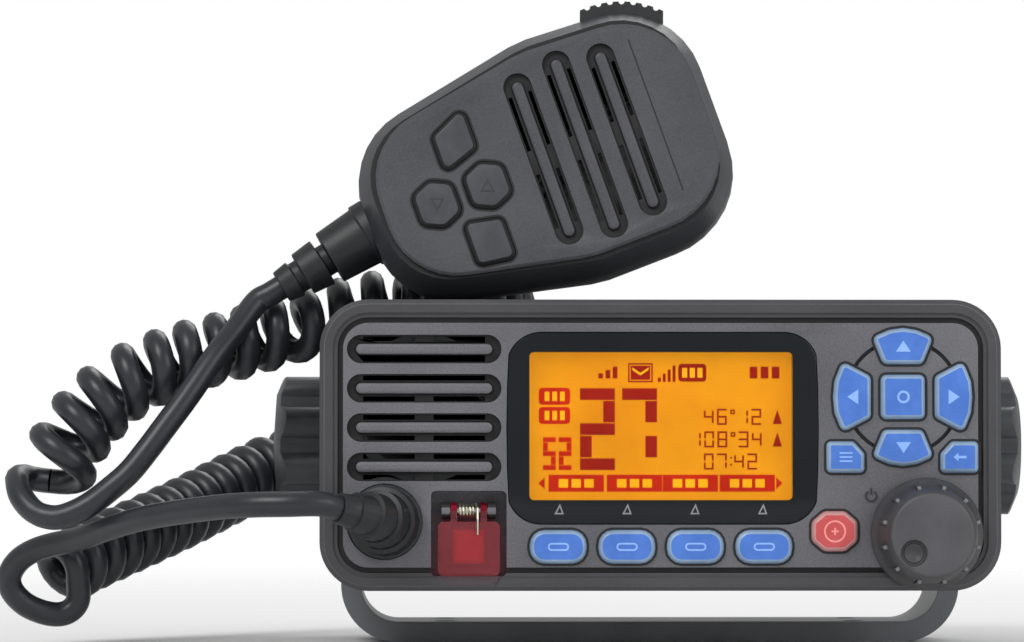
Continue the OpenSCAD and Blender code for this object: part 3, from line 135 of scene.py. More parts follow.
def rounded(node, name, body, material, width, segments=2, angle=32, sharp=40):
    """A copy of a CAD node with a small radius on its edges, as a mould or a press leaves it."""
    bm = merged(node)
    mesh = bpy.data.meshes.new(name)
    bm.to_mesh(mesh)
    bm.free()
    made = dress(name, mesh, body, material, node, sharp)
    bevel = made.modifiers.new("edge_radius", "BEVEL")
    bevel.width = width * MM
    bevel.segments = segments
    bevel.limit_method = "ANGLE"
    bevel.angle_limit = radians(angle)
    bevel.use_clamp_overlap = True
    bevel.miter_outer = "MITER_ARC"
    return made


# %% [markdown]
# ## Colours and nodes
# Colours are picked as sRGB hex values, the way a picture editor shows them, and
# shaders want them linear. `add_node` adds one node with its settings and links,
# so that a whole material reads as a short list.

# %% Colour and node helpers
def linear(code):
    """A hex colour such as 3A3D41 as linear RGBA."""
    parts = [int(code[i : i + 2], 16) / 255 for i in (0, 2, 4)]
    return [c / 12.92 if c <= 0.04045 else ((c + 0.055) / 1.055) ** 2.4 for c in parts] + [1.0]


def add_node(tree, kind, settings=None, links=None):
    """Adds a node, sets its properties or sockets by name, and links other nodes' outputs to it."""
    node = tree.nodes.new(kind)
    for name, value in (settings or {}).items():
        if name in node.inputs:
            node.inputs[name].default_value = value
        else:
            setattr(node, name, value)
    for name, output in (links or {}).items():
        tree.links.new(output, node.inputs[name])
    return node


def surface(name, dark, light, rough, patch=18.0, grain=0.0, depth=0.0, stretch=None, speckle=0.0, **sockets):
    """Starts a material whose colour and roughness drift over patches of that many millimetres.

    A grain that wide and deep is pressed into it, and speckle is the grain's share in the colour."""
    material = bpy.data.materials.new(name)
    material.use_nodes = True
    tree = material.node_tree
    shader = tree.nodes["Principled BSDF"]
    for socket, value in sockets.items():
        shader.inputs[socket.replace("_", " ")].default_value = value
    where = add_node(tree, "ShaderNodeTexCoord").outputs["Object"]
    if stretch:
        where = add_node(tree, "ShaderNodeMapping", {"Scale": stretch}, {"Vector": where}).outputs[0]
    drift = add_node(
        tree, "ShaderNodeTexNoise", {"Scale": 1000 / patch, "Detail": 3.0, "Roughness": 0.6}, {"Vector": where}
    ).outputs["Fac"]
    if grain:
        pebble = add_node(
            tree, "ShaderNodeTexNoise", {"Scale": 1000 / grain, "Detail": 2.0, "Roughness": 0.5}, {"Vector": where}
        )
    shade = drift
    if speckle:
        shade = add_node(tree, "ShaderNodeMix", {"data_type": "FLOAT"}).outputs[0]
        tree.links.new(drift, shade.node.inputs[2])
        tree.links.new(pebble.outputs["Fac"], shade.node.inputs[3])
        shade.node.inputs[0].default_value = speckle
    ramp = add_node(tree, "ShaderNodeValToRGB", None, {"Fac": shade})
    ramp.color_ramp.elements[0].position = 0.3
    ramp.color_ramp.elements[0].color = linear(dark)
    ramp.color_ramp.elements[1].position = 0.7
    ramp.color_ramp.elements[1].color = linear(light)
    tree.links.new(ramp.outputs["Color"], shader.inputs["Base Color"])
    level = add_node(
        tree, "ShaderNodeMapRange", {"To Min": rough - 0.05, "To Max": rough + 0.05}, {"Value": drift}
    ).outputs["Result"]
    tree.links.new(level, shader.inputs["Roughness"])
    if grain:
        bump = add_node(
            tree, "ShaderNodeBump", {"Strength": 0.9, "Distance": depth * MM}, {"Height": pebble.outputs["Fac"]}
        )
        tree.links.new(bump.outputs["Normal"], shader.inputs["Normal"])
    return material


# %% [markdown]
# ## The cord's material
# The cord is jacketed in polyurethane rubber, extruded smooth and then wound hot
# on a rod. It is nearly black, with a soft sheen that runs along every curl, so
# it gets a low roughness and only the faintest drift of colour.

# %% Cord jacket
cord_rubber = surface("polyurethane_cord_jacket", "202327", "2A2D32", 0.36, patch=9, grain=0.9, depth=0.02)
boot_rubber = surface("moulded_rubber_boot", "17191B", "202326", 0.45, patch=8, grain=0.6, depth=0.03)

# %% [markdown]
# ## The cord's route
# The cord leaves the boot in the jack, runs left and down, and becomes a coil of
# 44 curls that climbs over the case, goes behind it and comes back to the left,
# where a short straight lead goes up to the microphone. The points repeat the
# route of the CAD model. A smooth curve through them is worked out once, and the
# curls turn round it, closer together or wider apart as the axis bends.

# %% Route points, in millimetres
CORD_D, CURL_R = 5.9, 6.0
COIL_AXIS = [
    (-143.2, -49, 40.2), (-141.5, -48, 45.7), (-137.7, -46.5, 52), (-133.2, -45, 57.3), (-128.4, -43.5, 61.7),
    (-122.5, -42, 65.2), (-116.4, -40, 67.8), (-110.5, -38, 69.8), (-105, -36, 71.2), (-100, -34.5, 72.6),
    (-95, -33, 74.1), (-89.7, -31, 75.7), (-84.5, -28, 77.2), (-79.2, -25.5, 78.7), (-73.4, -24, 80.4),
    (-62, -21, 82.6), (-51, -14, 83), (-42, -4, 83), (-37, 8, 83), (-36, 22, 83), (-38, 36, 83), (-41, 47, 82.4),
    (-45, 55, 77.5), (-50, 58.5, 68.5), (-56, 59, 59), (-63, 57.5, 50.5), (-71, 54, 46.3), (-81, 47.5, 45),
    (-90.6, 40, 43.6), (-99.3, 30, 39.6), (-107, 20, 35.6), (-114.4, 10, 31.7), (-121.9, 0, 28.1),
    (-130.4, -12, 24.2), (-138, -22, 20.6), (-143.6, -29, 17.3),
]  # fmt: skip
MIC_LEAD = [
    (-148.8, -42.4, 40), (-151.1, -44.6, 40.6), (-152.1, -47.6, 40.2), (-151.9, -50.6, 39), (-151.4, -53.2, 37.2),
    (-150.2, -55.5, 35.1), (-147.9, -57.5, 32.7), (-145.1, -58.5, 31.3), (-141.5, -59.5, 31), (-137.3, -60, 32.4),
    (-133.3, -60, 34.7), (-129.3, -60, 37.8), (-125, -59.5, 41.6), (-120.8, -58.5, 46.8), (-116.7, -57, 52.4),
    (-111.5, -54.5, 59.6), (-105.5, -50.5, 68.5), (-100, -45, 76),
]  # fmt: skip
JACK_LEAD = [
    (-87, -93.5, 34.4), (-95.8, -91, 34.2), (-105.2, -84, 33.4), (-119.7, -70, 31.2), (-129.8, -58.5, 28.4),
    (-137.5, -49, 25.7), (-144.4, -43, 24.2), (-149, -40.2, 22.7), (-152.7, -38, 20.2), (-154.8, -36.3, 16.8),
    (-154.4, -35.2, 13.3), (-151.5, -34.3, 10), (-147.5, -33.2, 8), (-143.6, -32.3, 7.3), (-140.6, -32, 8.2),
    (-138.7, -31.9, 10.8),
]  # fmt: skip
PLUG_ROUTE = [(-64.8, -67.35, 30.05), (-64.8, -74.35, 30.15), (-66.2, -80.85, 30.85),
              (-69.8, -86.35, 32.05), (-75.4, -89.95, 33.45)]  # fmt: skip


def smooth_path(points, steps):
    """A smooth curve through points, in that many steps between two of them."""
    p = [Vector(q) for q in points]
    p = [2 * p[0] - p[1]] + p + [2 * p[-1] - p[-2]]
    path = []
    for a, b, c, d in zip(p, p[1:], p[2:], p[3:]):
        for k in range(steps):
            t = k / steps
            path.append(
                0.5 * (2 * b + (c - a) * t + (2 * a - 5 * b + 4 * c - d) * t * t + (3 * b - a - 3 * c + d) * t**3)
            )
    return path + [p[-2]]


def look_up(x, xs, ys):
    """The value at x between the listed ones."""
    if x <= xs[0]:
        return ys[0]
    for k in range(1, len(xs)):
        if x <= xs[k]:
            return ys[k - 1] + (ys[k] - ys[k - 1]) * (x - xs[k - 1]) / (xs[k] - xs[k - 1])
    return ys[-1]


def length_of(path):
    return sum((b - a).length for a, b in zip(path, path[1:]))


# %% [markdown]
# A curl needs a little more room where the axis bends, because the curls close
# up on the inside of the bend. The running count of turns takes that in. The
# normals are carried along the axis without twisting, so the curls stay even.

# %% The coil's curls
axis = smooth_path(COIL_AXIS, 8)
last = len(axis) - 1
along = [(axis[min(i + 1, last)] - axis[max(i - 1, 0)]).normalized() for i in range(last + 1)]
across = [(Vector((0, 0, 1)) - along[0].z * along[0]).normalized()]
for t in along[1:]:
    across.append((across[-1] - across[-1].dot(t) * t).normalized())
step = [(b - a).length for a, b in zip(axis, axis[1:])]
bend = [(along[i + 1] - along[i]).length / step[i] for i in range(last)]
slope = cos(atan(CORD_D / (2 * pi * CURL_R)))
reached, turned_so_far = [0.0], [0.0]
for i in range(last):
    sharpest = max(bend[max(0, i - 3) : i + 4])
    room = (CORD_D + 0.5) / slope / (1 - sharpest * CURL_R)
    reached.append(reached[-1] + step[i])
    turned_so_far.append(turned_so_far[-1] + step[i] / room)
share = ((250 - 165) % 360) / 360
turns = floor(turned_so_far[-1] - share) + share


def on_coil(w):
    """The cord's middle at a share w of the coil."""
    s = look_up(w * turned_so_far[-1], turned_so_far, reached)
    i = look_up(s, reached, list(range(last + 1)))
    k, f = min(int(i), last - 1), i - min(int(i), last - 1)
    t = along[k].lerp(along[k + 1], f).normalized()
    n = across[k].lerp(across[k + 1], f).normalized()
    a = radians(250 - 360 * turns * w)
    r = CURL_R + look_up(s, [0, 16, 45], [0.7, 0.6, 0.0])
    return axis[k].lerp(axis[k + 1], f) + r * (n * cos(a) + t.cross(n) * sin(a))


rings = ceil(turns * 20)
curls = [on_coil(j / rings) for j in range(rings + 1)]
print("curls:", round(turns, 2), "cord in them:", round(length_of(curls)), "mm")

# %% [markdown]
# ## Coil and jack lead
# The coil and the lead to the jack are one unbroken cord in the real thing, so
# they are one curve here too. A curve with a round bevel is the natural tool for
# a cord: its points are the middle of the route, and Blender draws the tube.

# %% Coil and jack lead
plug_line = smooth_path(PLUG_ROUTE, 8)
plug_way = (plug_line[-1] - plug_line[-2]).normalized()
jack_lead = smooth_path(
    [plug_line[-1], plug_line[-1] + 5 * plug_way] + JACK_LEAD + [curls[-1], curls[-4]], 6
)[:-6]
cord_line = jack_lead[:-1] + curls[::-1]


def cord_curve(name, path, diameter, material):
    """A cord's curve of one open spline, with a round bevel."""
    curve = bpy.data.curves.new(name, "CURVE")
    curve.dimensions = "3D"
    curve.bevel_depth = diameter / 2 * MM
    curve.bevel_resolution = 4
    curve.use_fill_caps = True
    spline = curve.splines.new("POLY")
    spline.points.add(len(path) - 1)
    for point, at in zip(spline.points, path):
        point.co = (*(at * MM), 1)
    curve.materials.append(material)
    made = bpy.data.objects.new(name, curve)
    bpy.context.collection.objects.link(made)
    return made


coil = cord_curve("curly_cord_jacket", cord_line, CORD_D, cord_rubber)
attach(coil, "radio")
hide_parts("curly_cord", "cord_jack_lead")
print("coil and jack lead:", len(cord_line), "points,", round(length_of(cord_line)), "mm")

# %% [markdown]
# ## The microphone's lead
# This lead crosses the joint that lifts the microphone: its lower end lies at the
# coil and its upper end at the microphone's strain relief. The curve is turned
# into a mesh tube.

# %% Microphone lead
relief_foot = MIC @ TO_METRES @ Vector((-42.5, 0, -16))
relief_way = (MIC.to_3x3() @ Vector((-cos(radians(12)), -sin(radians(12)), 0))).normalized()
relief_tip = relief_foot / MM + 27 * relief_way
mic_line = smooth_path(
    [curls[3], curls[0]] + MIC_LEAD + [relief_tip + d * relief_way for d in (7, 3.2, -3)], 6
)[6:]
tube = cord_curve("microphone_lead_line", mic_line, CORD_D, cord_rubber)
bpy.context.view_layer.update()
tube_mesh = bpy.data.meshes.new_from_object(tube)
bpy.data.objects.remove(tube)
tube_mesh.materials.clear()
mic_lead = bpy.data.objects.new("microphone_lead", tube_mesh)
tube_mesh.materials.append(cord_rubber)
for face in tube_mesh.polygons:
    face.use_smooth = True
bpy.context.collection.objects.link(mic_lead)
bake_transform(mic_lead)
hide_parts("cord_mic_lead")
print("microphone lead:", round(length_of(mic_line)), "mm")

# %% [markdown]
# ## Floor, world and lamps
# A product shot has soft light from all round and one larger, softer lamp from
# the upper left. The world gives the even part. It is grey for the light that it
# sends, and plain white where the camera looks at it or sees it through glass. The floor
# is matt and pale and fades into that white, so it has no edge, but keeps the
# object's shadow.

# %% World
world = bpy.data.worlds.new("studio")
bpy.context.scene.world = world
world.use_nodes = True
sky = world.node_tree
sky.nodes.clear()
rays = add_node(sky, "ShaderNodeLightPath")
seen = add_node(
    sky, "ShaderNodeMath", {"operation": "MAXIMUM"}, None
)
sky.links.new(rays.outputs["Is Camera Ray"], seen.inputs[0])
sky.links.new(rays.outputs["Is Transmission Ray"], seen.inputs[1])
strength = add_node(sky, "ShaderNodeMapRange", {"To Min": 0.52, "To Max": 1.0}, {"Value": seen.outputs[0]})
sky_light = add_node(
    sky, "ShaderNodeBackground", {"Color": (1, 1, 1, 1)}, {"Strength": strength.outputs["Result"]}
)
add_node(sky, "ShaderNodeOutputWorld", None, {"Surface": sky_light.outputs[0]})

# %% Floor
bm = bmesh.new()
bmesh.ops.create_circle(bm, cap_ends=True, radius=1.6, segments=96)
floor_mesh = bpy.data.meshes.new("pale_floor")
bm.to_mesh(floor_mesh)
bm.free()
floor_object = bpy.data.objects.new("pale_floor", floor_mesh)
bpy.context.collection.objects.link(floor_object)
paper = bpy.data.materials.new("matt_white_paper")
paper.use_nodes = True
tree = paper.node_tree
tree.nodes["Principled BSDF"].inputs["Base Color"].default_value = linear("F2F2F2")
tree.nodes["Principled BSDF"].inputs["Roughness"].default_value = 0.9
tree.nodes["Principled BSDF"].inputs["Specular IOR Level"].default_value = 0.1
place = add_node(tree, "ShaderNodeTexCoord").outputs["Object"]
far = add_node(tree, "ShaderNodeVectorMath", {"operation": "LENGTH"}, {"Vector": place}).outputs["Value"]
fade = add_node(
    tree, "ShaderNodeMapRange", {"interpolation_type": "SMOOTHSTEP", "From Min": 0.25, "From Max": 0.9}, {"Value": far}
).outputs["Result"]
clear = add_node(tree, "ShaderNodeBsdfTransparent").outputs[0]
blend = add_node(tree, "ShaderNodeMixShader", None, {"Fac": fade})
tree.links.new(tree.nodes["Principled BSDF"].outputs[0], blend.inputs[1])
tree.links.new(clear, blend.inputs[2])
tree.links.new(blend.outputs[0], tree.nodes["Material Output"].inputs["Surface"])
floor_mesh.materials.append(paper)

# %% Lamps
for name, at, size, watts in [
    ("key_lamp", (-0.75, -1.05, 1.15), 0.7, 11.0),
    ("fill_lamp", (0.95, -0.9, 0.55), 0.8, 4.0),
    ("rim_lamp", (0.25, 0.9, 1.0), 0.8, 5.0),
]:
    lamp = bpy.data.lights.new(name, "AREA")
    lamp.size, lamp.energy = size, watts
    stand = bpy.data.objects.new(name, lamp)
    stand.location = at
    stand.rotation_euler = (Vector((-0.03, 0, 0.07)) - Vector(at)).to_track_quat("-Z", "Y").to_euler()
    bpy.context.collection.objects.link(stand)
    print(name, watts, "W")

# %% [markdown]
# ## Moulded plastics and rubbers
# The case front is injection-moulded ABS whose tool was spark-eroded, which
# leaves a fine pebble that breaks up the highlight. The real grain is about
# 0.3 mm wide. It is drawn a little coarser, so that it shows at this distance.

# %% Moulded materials
case_abs = surface("spark_eroded_ABS_case", "545457", "74747A", 0.5, patch=40, grain=0.45, depth=0.13, speckle=0.45)
rim_abs = surface("smooth_ABS_rim", "404043", "4C4C4F", 0.4, patch=30, grain=0.6, depth=0.04, speckle=0.25)
# Painted shade: a near-black copy of the case ABS, laid on grooves, slot floors, the microphone keys' sides and the
# bands round keys, where shade falls.
painted_shade_abs = surface("ABS_painted_shade", "18181A", "202022", 0.6, patch=6, grain=0.5, depth=0.03)
mic_abs = surface("grained_ABS_microphone", "3B3C40", "525357", 0.48, patch=28, grain=0.5, depth=0.1, speckle=0.4)
# Painted shade: the microphone's sides and back are the same grained ABS as its front, painted darker for the shade
# they lie in.
mic_side_painted_shade = surface("grained_ABS_microphone_side_painted_shade", "303236", "3C3E42", 0.42, patch=24, grain=0.7, depth=0.06)
mic_back_painted_shade = surface("grained_ABS_microphone_back_painted_shade", "2B2C2F", "36373A", 0.5, patch=24, grain=0.6, depth=0.05)
knob_rubber = surface("soft_touch_knob", "3A3A3C", "48484A", 0.5, patch=9, grain=0.4, depth=0.02)
# Painted light: the knob's face is the same soft-touch rubber as its flank, painted lighter.
knob_face_painted_light = surface("soft_touch_knob_face_painted_light", "4A4A4E", "58585C", 0.5, patch=12, grain=0.6, depth=0.06)
# Painted highlight: the pale tips of the ribs stand for the light they catch.
rib_painted_highlight = surface("soft_touch_rib_painted_highlight", "77787C", "87888C", 0.5, patch=3)
clamp_nylon = surface("glass_filled_nylon", "383A3E", "484A4E", 0.4, patch=12, grain=0.7, depth=0.04)
key_rubber = surface("moulded_silicone_keys", "3C3D41", "484A4E", 0.5, patch=5, grain=0.4, depth=0.02)
ptt_rubber = surface("moulded_TPE_bar", "1D1E20", "282A2C", 0.55, patch=6, grain=0.4, depth=0.03)
black_rubber = surface("EPDM_rubber", "151617", "202123", 0.62, patch=6, grain=0.5, depth=0.03)
black_plastic = surface("black_PBT", "1A1B1C", "242526", 0.42, patch=8, grain=0.5, depth=0.01)
white_plastic = surface("white_polycarbonate_frame", "CFCFCA", "DEDEDA", 0.4, patch=12)
paper_cone = surface("pressed_paper_cone", "1E1E1F", "2A2A2B", 0.8, patch=5, grain=0.8, depth=0.1)
distress_rubber = surface(
    "red_silicone_button", "DC3C44", "F04850", 0.42, patch=5, grain=0.4, depth=0.02, Subsurface_Weight=0.1,
    Subsurface_Radius=(0.003, 0.001, 0.001),
)  # fmt: skip

# %% [markdown]
# ## Powder coat, die-casting and bare metals
# The bracket is bent steel strip with a satin powder coat: tiny soft dimples,
# like orange peel, 1 mm apart. The chassis is a black-coated aluminium casting.
# Bare steel and nickel are metals with a brushed or turned grain along one way.

# %% Metal materials
powder = surface("powder_coated_steel", "66696D", "7A7D81", 0.38, patch=20, grain=1.0, depth=0.06, Coat_Weight=0.15)
casting = surface("black_powder_coated_aluminium", "1F2124", "2C2F33", 0.46, patch=15, grain=0.8, depth=0.07)
steel = surface("turned_stainless_steel", "A9AAAC", "C2C3C5", 0.28, patch=3, stretch=(14, 1, 1), Metallic=1.0)
wire = surface("drawn_spring_wire", "CFCBB8", "E2DECB", 0.3, patch=2, Metallic=1.0)
nickel = surface("nickel_plated_brass", "B7B5AE", "CFCDC6", 0.2, patch=5, Metallic=1.0)
tin = surface("tinned_steel_can", "8C8E90", "A2A4A6", 0.35, patch=6, Metallic=1.0)
board = surface("green_solder_mask", "134B2B", "1B5C36", 0.35, patch=10, grain=1.5, depth=0.02, Coat_Weight=0.4)
red_metal = surface("red_anodised_barrel", "7C0C26", "96122F", 0.3, patch=4, Metallic=0.7)

# %% [markdown]
# ## Keys and display
# The keys are clear silicone, painted and laser-cut, with blue lamps behind them,
# so the face glows a little and the bevel round it is paler. The amber display
# is lit from behind as well. Both get a weak emission on top of their colour.

# %% Lit materials
def lit(name, dark, light, rough, glow, patch=6.0, gloss=0.5):
    """A back-lit plastic: the drifting colour also feeds the emission."""
    material = surface(name, dark, light, rough, patch=patch, Specular_IOR_Level=gloss)
    tree = material.node_tree
    shader = tree.nodes["Principled BSDF"]
    tree.links.new(shader.inputs["Base Color"].links[0].from_socket, shader.inputs["Emission Color"])
    shader.inputs["Emission Strength"].default_value = glow
    return material


blue_face = lit("backlit_blue_silicone", "3F6BBC", "4A78CC", 0.4, 0.2)
blue_skirt = lit("blue_silicone_bevel", "7F98B4", "93ADC8", 0.35, 0.12)
blue_print = lit("pale_blue_print", "7FA6E6", "8CB2EE", 0.4, 0.25)
red_face = lit("backlit_red_silicone", "BC484A", "CA5456", 0.4, 0.18)
red_skirt = lit("red_silicone_bevel", "C08A88", "CC9896", 0.35, 0.1)
amber = lit("backlit_amber_display", "C07604", "CC8606", 0.4, 0.8, patch=25, gloss=0.0)
amber_tag = lit("yellow_display_tag", "D09206", "DA9C0A", 0.4, 0.8, gloss=0.0)
segment = lit("red_display_segment", "8E1202", "9C1804", 0.4, 0.35, gloss=0.0)
segment_red = lit("bright_red_display_segment", "B41A02", "C02204", 0.4, 0.4, gloss=0.0)
red_print = lit("pale_red_print", "EA8C86", "F09A94", 0.4, 0.2)
dark_print = surface("dark_pad_print", "303034", "38383C", 0.5, patch=4)
grey_print = surface("grey_pad_print", "8C8E92", "9A9CA0", 0.5, patch=4)
mask_ink = surface("gloss_black_lens_border", "15191D", "1C2024", 0.16, patch=30, Specular_IOR_Level=0.25)

# %% Clear materials
window = surface(
    "clear_acrylic_window", "F4F6F6", "FFFFFF", 0.05, Transmission_Weight=1.0, IOR=1.2, Specular_IOR_Level=0.1
)
red_clear = surface("red_tinted_polycarbonate", "DA6C76", "E87C86", 0.12, patch=8, Transmission_Weight=0.85, IOR=1.3)

# %% [markdown]
# ## Pieces that keep their CAD shape
# What hides inside the case, and the small turned parts, are right as they are.
# They only get the material of the real piece.

# %% Materials of the CAD nodes
KEPT = {
    black_rubber: ["pivot_washers", "case_seal", "lead_glands"],
    steel: ["clamp_stud_left", "clamp_stud_right", "clamp_washer_left", "clamp_washer_right", "case_screws",
            "encoder_shaft", "encoder_body", "cover_hinge_pin"],
    white_plastic: ["lcd_frame", "encoder_plunger"],
    board: ["key_board", "main_board", "mic_board"],
    black_plastic: ["mic_socket"],
    tin: ["power_module", "mic_capsule"],
    casting: ["speaker_frame"],
    paper_cone: ["speaker_cone"],
    nickel: ["antenna_socket"],
    wire: ["cover_spring"],
    amber: ["lcd_panel"],
}  # fmt: skip
for material, names in KEPT.items():
    for name in names:
        node = nodes[name]
        if not node.data.materials:
            node.data.materials.append(material)
        for slot in node.material_slots:
            slot.link = "OBJECT"
            slot.material = material
print("kept CAD nodes:", sum(len(v) for v in KEPT.values()))

# %% [markdown]
# ## Edge radii
# No moulded, cast or bent edge is razor sharp: a radius of a few tenths of a
# millimetre catches a thin line of light, and without it a model looks like
# paper. A copy of each large CAD piece is merged and gets that radius from the
# Bevel modifier, which works here because the copy's flat faces are whole.

# %% Rounded copies
rounded("bracket", "bracket_strap", "bracket", powder, 0.7, 3)
for side in ("left", "right"):
    rounded(f"clamp_knob_{side}", f"clamp_knob_grip_{side}", f"clamp_{side}", clamp_nylon, 0.9, 3, 25, 50)
case = rounded("front_case", "case_front_shell", "radio", [case_abs, rim_abs, painted_shade_abs], 0.22)
rounded("rear_chassis", "chassis_casting", "radio", casting, 0.5)
mic_front = rounded(
    "mic_front_case", "microphone_front", "microphone", [mic_abs, painted_shade_abs, mic_side_painted_shade], 0.3
)
# The back gets the darker copy of the grained ABS, as painted shade.
rounded("mic_rear_case", "microphone_back", "microphone", mic_back_painted_shade, 0.4)
rounded("ptt_button", "push_to_talk_bar", "ptt_button", ptt_rubber, 0.4)
rounded("distress_button", "distress_key_cap", "distress_button", distress_rubber, 0.4, 3)
cover = rounded(
    "distress_cover", "distress_key_cover", "distress_cover", [red_clear, red_metal], 0.25
)
for face in cover.data.polygons:
    at = PANEL.inverted() @ face.center / MM
    if (at.y + 15.4) ** 2 + (at.z + 2.2) ** 2 < 2.4**2:
        face.material_index = 1

# %% [markdown]
# The case front is one moulding, but its rim is polished smooth, and its grooves
# and the bay's walls are painted near black as painted shade, for the shadow they lie in.
# The faces are sorted by where they lie: those in front of the panel near the outline are rim, those that lie deep get
# the painted shade.

# %% Rim and grooves of the case
inside = PANEL.inverted()
for face in case.data.polygons:
    at = inside @ face.center / MM
    edge = min(80 - abs(at.x), 34.15 - abs(at.y))
    corner = Vector((max(0, abs(at.x) - 68.5), max(0, abs(at.y) - 22.65)))
    if corner.x and corner.y:
        edge = 11.5 - corner.length
    normal = inside.to_3x3() @ face.normal
    in_bay = abs(at.x + 45.05) < 9.2 and at.y < -13
    # Index 2 is painted shade, on the bay's walls and in the deep grooves.
    if in_bay:
        face.material_index = 0 if normal.z > 0.9 else 2
    elif -3 < at.z < -0.35 and edge > 2.9:
        face.material_index = 1 if abs(at.z + 0.7) < 0.1 and normal.z > 0.9 else 2
    elif edge < 3.3 or at.z > -0.1:
        face.material_index = 1
print("rim faces:", sum(f.material_index == 1 for f in case.data.polygons))

# %% [markdown]
# The microphone's front is sorted in the same way: the plate looks out, the
# slots' floors lie half a millimetre or more below it and get painted shade, and
# what is left is side, painted darker than the plate as painted shade.

# %% Plate, slots and sides of the microphone
inside_mic = MIC.inverted()
for face in mic_front.data.polygons:
    at = inside_mic @ face.center / MM
    out = (inside_mic.to_3x3() @ face.normal).z
    # Slot floors (index 1) and faces turned away (index 2) get painted shade.
    if -5 < at.x < 26 and abs(at.y) < 24.5 and at.z < -0.2:
        face.material_index = 1
    elif out < 0.8:
        face.material_index = 2
print("slot faces:", sum(f.material_index == 1 for f in mic_front.data.polygons))

# %% [markdown]
# ## Printing and outlines
# The marks on keys and lens are pad-printed: an ink film some hundredths of a
# millimetre thick. Each mark is a thin solid here, 0.08 mm high, so it catches
# light as ink does. `shape` lays down one filled outline of a few corners, and
# `bar` one rectangle, and an extrusion then gives all of them thickness.

# %% Mark helpers
INK = 0.08


def shape(bm, corners, z=0.0):
    """One flat outline through the given corners."""
    face = bm.faces.new([bm.verts.new((x, y, z)) for x, y in corners])
    face.normal_update()
    return face


def bar(bm, x0, y0, x1, y1, z=0.0):
    """One flat rectangle between two corners."""
    size = Matrix.Diagonal((abs(x1 - x0), abs(y1 - y0), 1, 1))
    bmesh.ops.create_grid(
        bm, x_segments=1, y_segments=1, size=0.5, matrix=Matrix.Translation(((x0 + x1) / 2, (y0 + y1) / 2, z)) @ size
    )


def frame_of(bm, corners, width, z=0.0):
    """A band of that width inside a flat outline."""
    face = shape(bm, corners, z)
    bmesh.ops.inset_region(bm, faces=[face], thickness=width, use_even_offset=True, use_boundary=True)
    bmesh.ops.delete(bm, geom=[face], context="FACES")


def ink_or_shade_film(name, bm, body, material, place, ink=INK):
    """Turns flat marks into thin films, of ink or of painted shade, and makes the piece."""
    raised = bmesh.ops.extrude_face_region(bm, geom=bm.faces[:])["geom"]
    bmesh.ops.translate(bm, verts=[v for v in raised if isinstance(v, bmesh.types.BMVert)], vec=(0, 0, ink))
    return piece(name, bm, body, material, place)


def box_outline(x, y, width, height, radius, per_corner=5, per_side=1):
    """The corners of a rounded rectangle about (x, y), the same number for every size."""
    corners = []
    for k in range(4):
        cx = x + (width / 2 - radius) * (1 if k in (0, 3) else -1)
        cy = y + (height / 2 - radius) * (1 if k < 2 else -1)
        arc = [
            (cx + radius * cos(pi / 2 * (k + i / per_corner)), cy + radius * sin(pi / 2 * (k + i / per_corner)))
            for i in range(per_corner + 1)
        ]
        if corners:
            a, b = corners[-1], arc[0]
            corners += [
                (a[0] + (b[0] - a[0]) * i / per_side, a[1] + (b[1] - a[1]) * i / per_side)
                for i in range(1, per_side)
            ]
        corners += arc
    a, b = corners[-1], corners[0]
    return corners + [
        (a[0] + (b[0] - a[0]) * i / per_side, a[1] + (b[1] - a[1]) * i / per_side) for i in range(1, per_side)
    ]


def loop(bm, corners, z):
    """A closed loop of edges through the corners."""
    verts = [bm.verts.new((x, y, z)) for x, y in corners]
    return [bm.edges.new((verts[i], verts[(i + 1) % len(verts)])) for i in range(len(verts))]


def skin(bm, loops):
    """Joins each loop to the next with a strip of faces."""
    for a, b in zip(loops, loops[1:]):
        bmesh.ops.bridge_loops(bm, edges=a + b)


# %% [markdown]
# ## Keys
# Each key is one silicone moulding that stands 1.4 mm out of the panel. The CAD
# copy already has the right outline and bevel, so the faces only have to be told
# apart: what looks straight out is the printed face, and the rest is the skirt.

# %% Key caps
PANEL_KEYS = ["up", "down", "left", "right", "select", "menu", "back", "call"]


def key_cap(node, name, materials, place, width):
    """A rounded key whose outward face has the second material."""
    made = rounded(node, name, node, materials, width, 2, 20, 60)
    out = place.to_3x3() @ Vector((0, 0, 1))
    top = max(out.dot(v.co) for v in made.data.vertices)
    for face in made.data.polygons:
        if face.normal.dot(out) > 0.98 and out.dot(face.center) > top - 0.25 * MM:
            face.material_index = 1
    return made


for key in PANEL_KEYS:
    red = key == "call"
    key_cap(
        f"key_{key}", f"{key}_key_cap", [red_skirt, red_face] if red else [blue_skirt, blue_face],
        PANEL, 0.4,
    )  # fmt: skip
for k in range(1, 5):
    key_cap(f"soft_key_{k}", f"soft_key_cap_{k}", [blue_skirt, blue_face], PANEL, 0.4)
# The microphone keys' sides get painted shade, their faces the key rubber.
for key in ("high", "low", "up", "down"):
    key_cap(f"mic_key_{key}", f"microphone_key_{key}", [painted_shade_abs, key_rubber], MIC, 0.5)


# %% [markdown]
# The marks stay generic: arrows on the pad, a ring for select, three lines for
# the menu, a bent arrow for back, and a dash on each soft key. A mark lies on its
# key's own face, whose height is read from the CAD node's box.

# %% Marks on the panel's keys
KEY_TOP = (PANEL.inverted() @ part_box("key_select")[0]).z / MM
INNER = (KEY_TOP - 0.02) * MM


def on_key(node):
    """The frame that stands on a panel key's face, at its middle."""
    low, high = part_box(node)
    middle = PANEL.inverted() @ ((low + high) / 2)
    return PANEL @ Matrix.Translation((middle.x, middle.y, INNER))


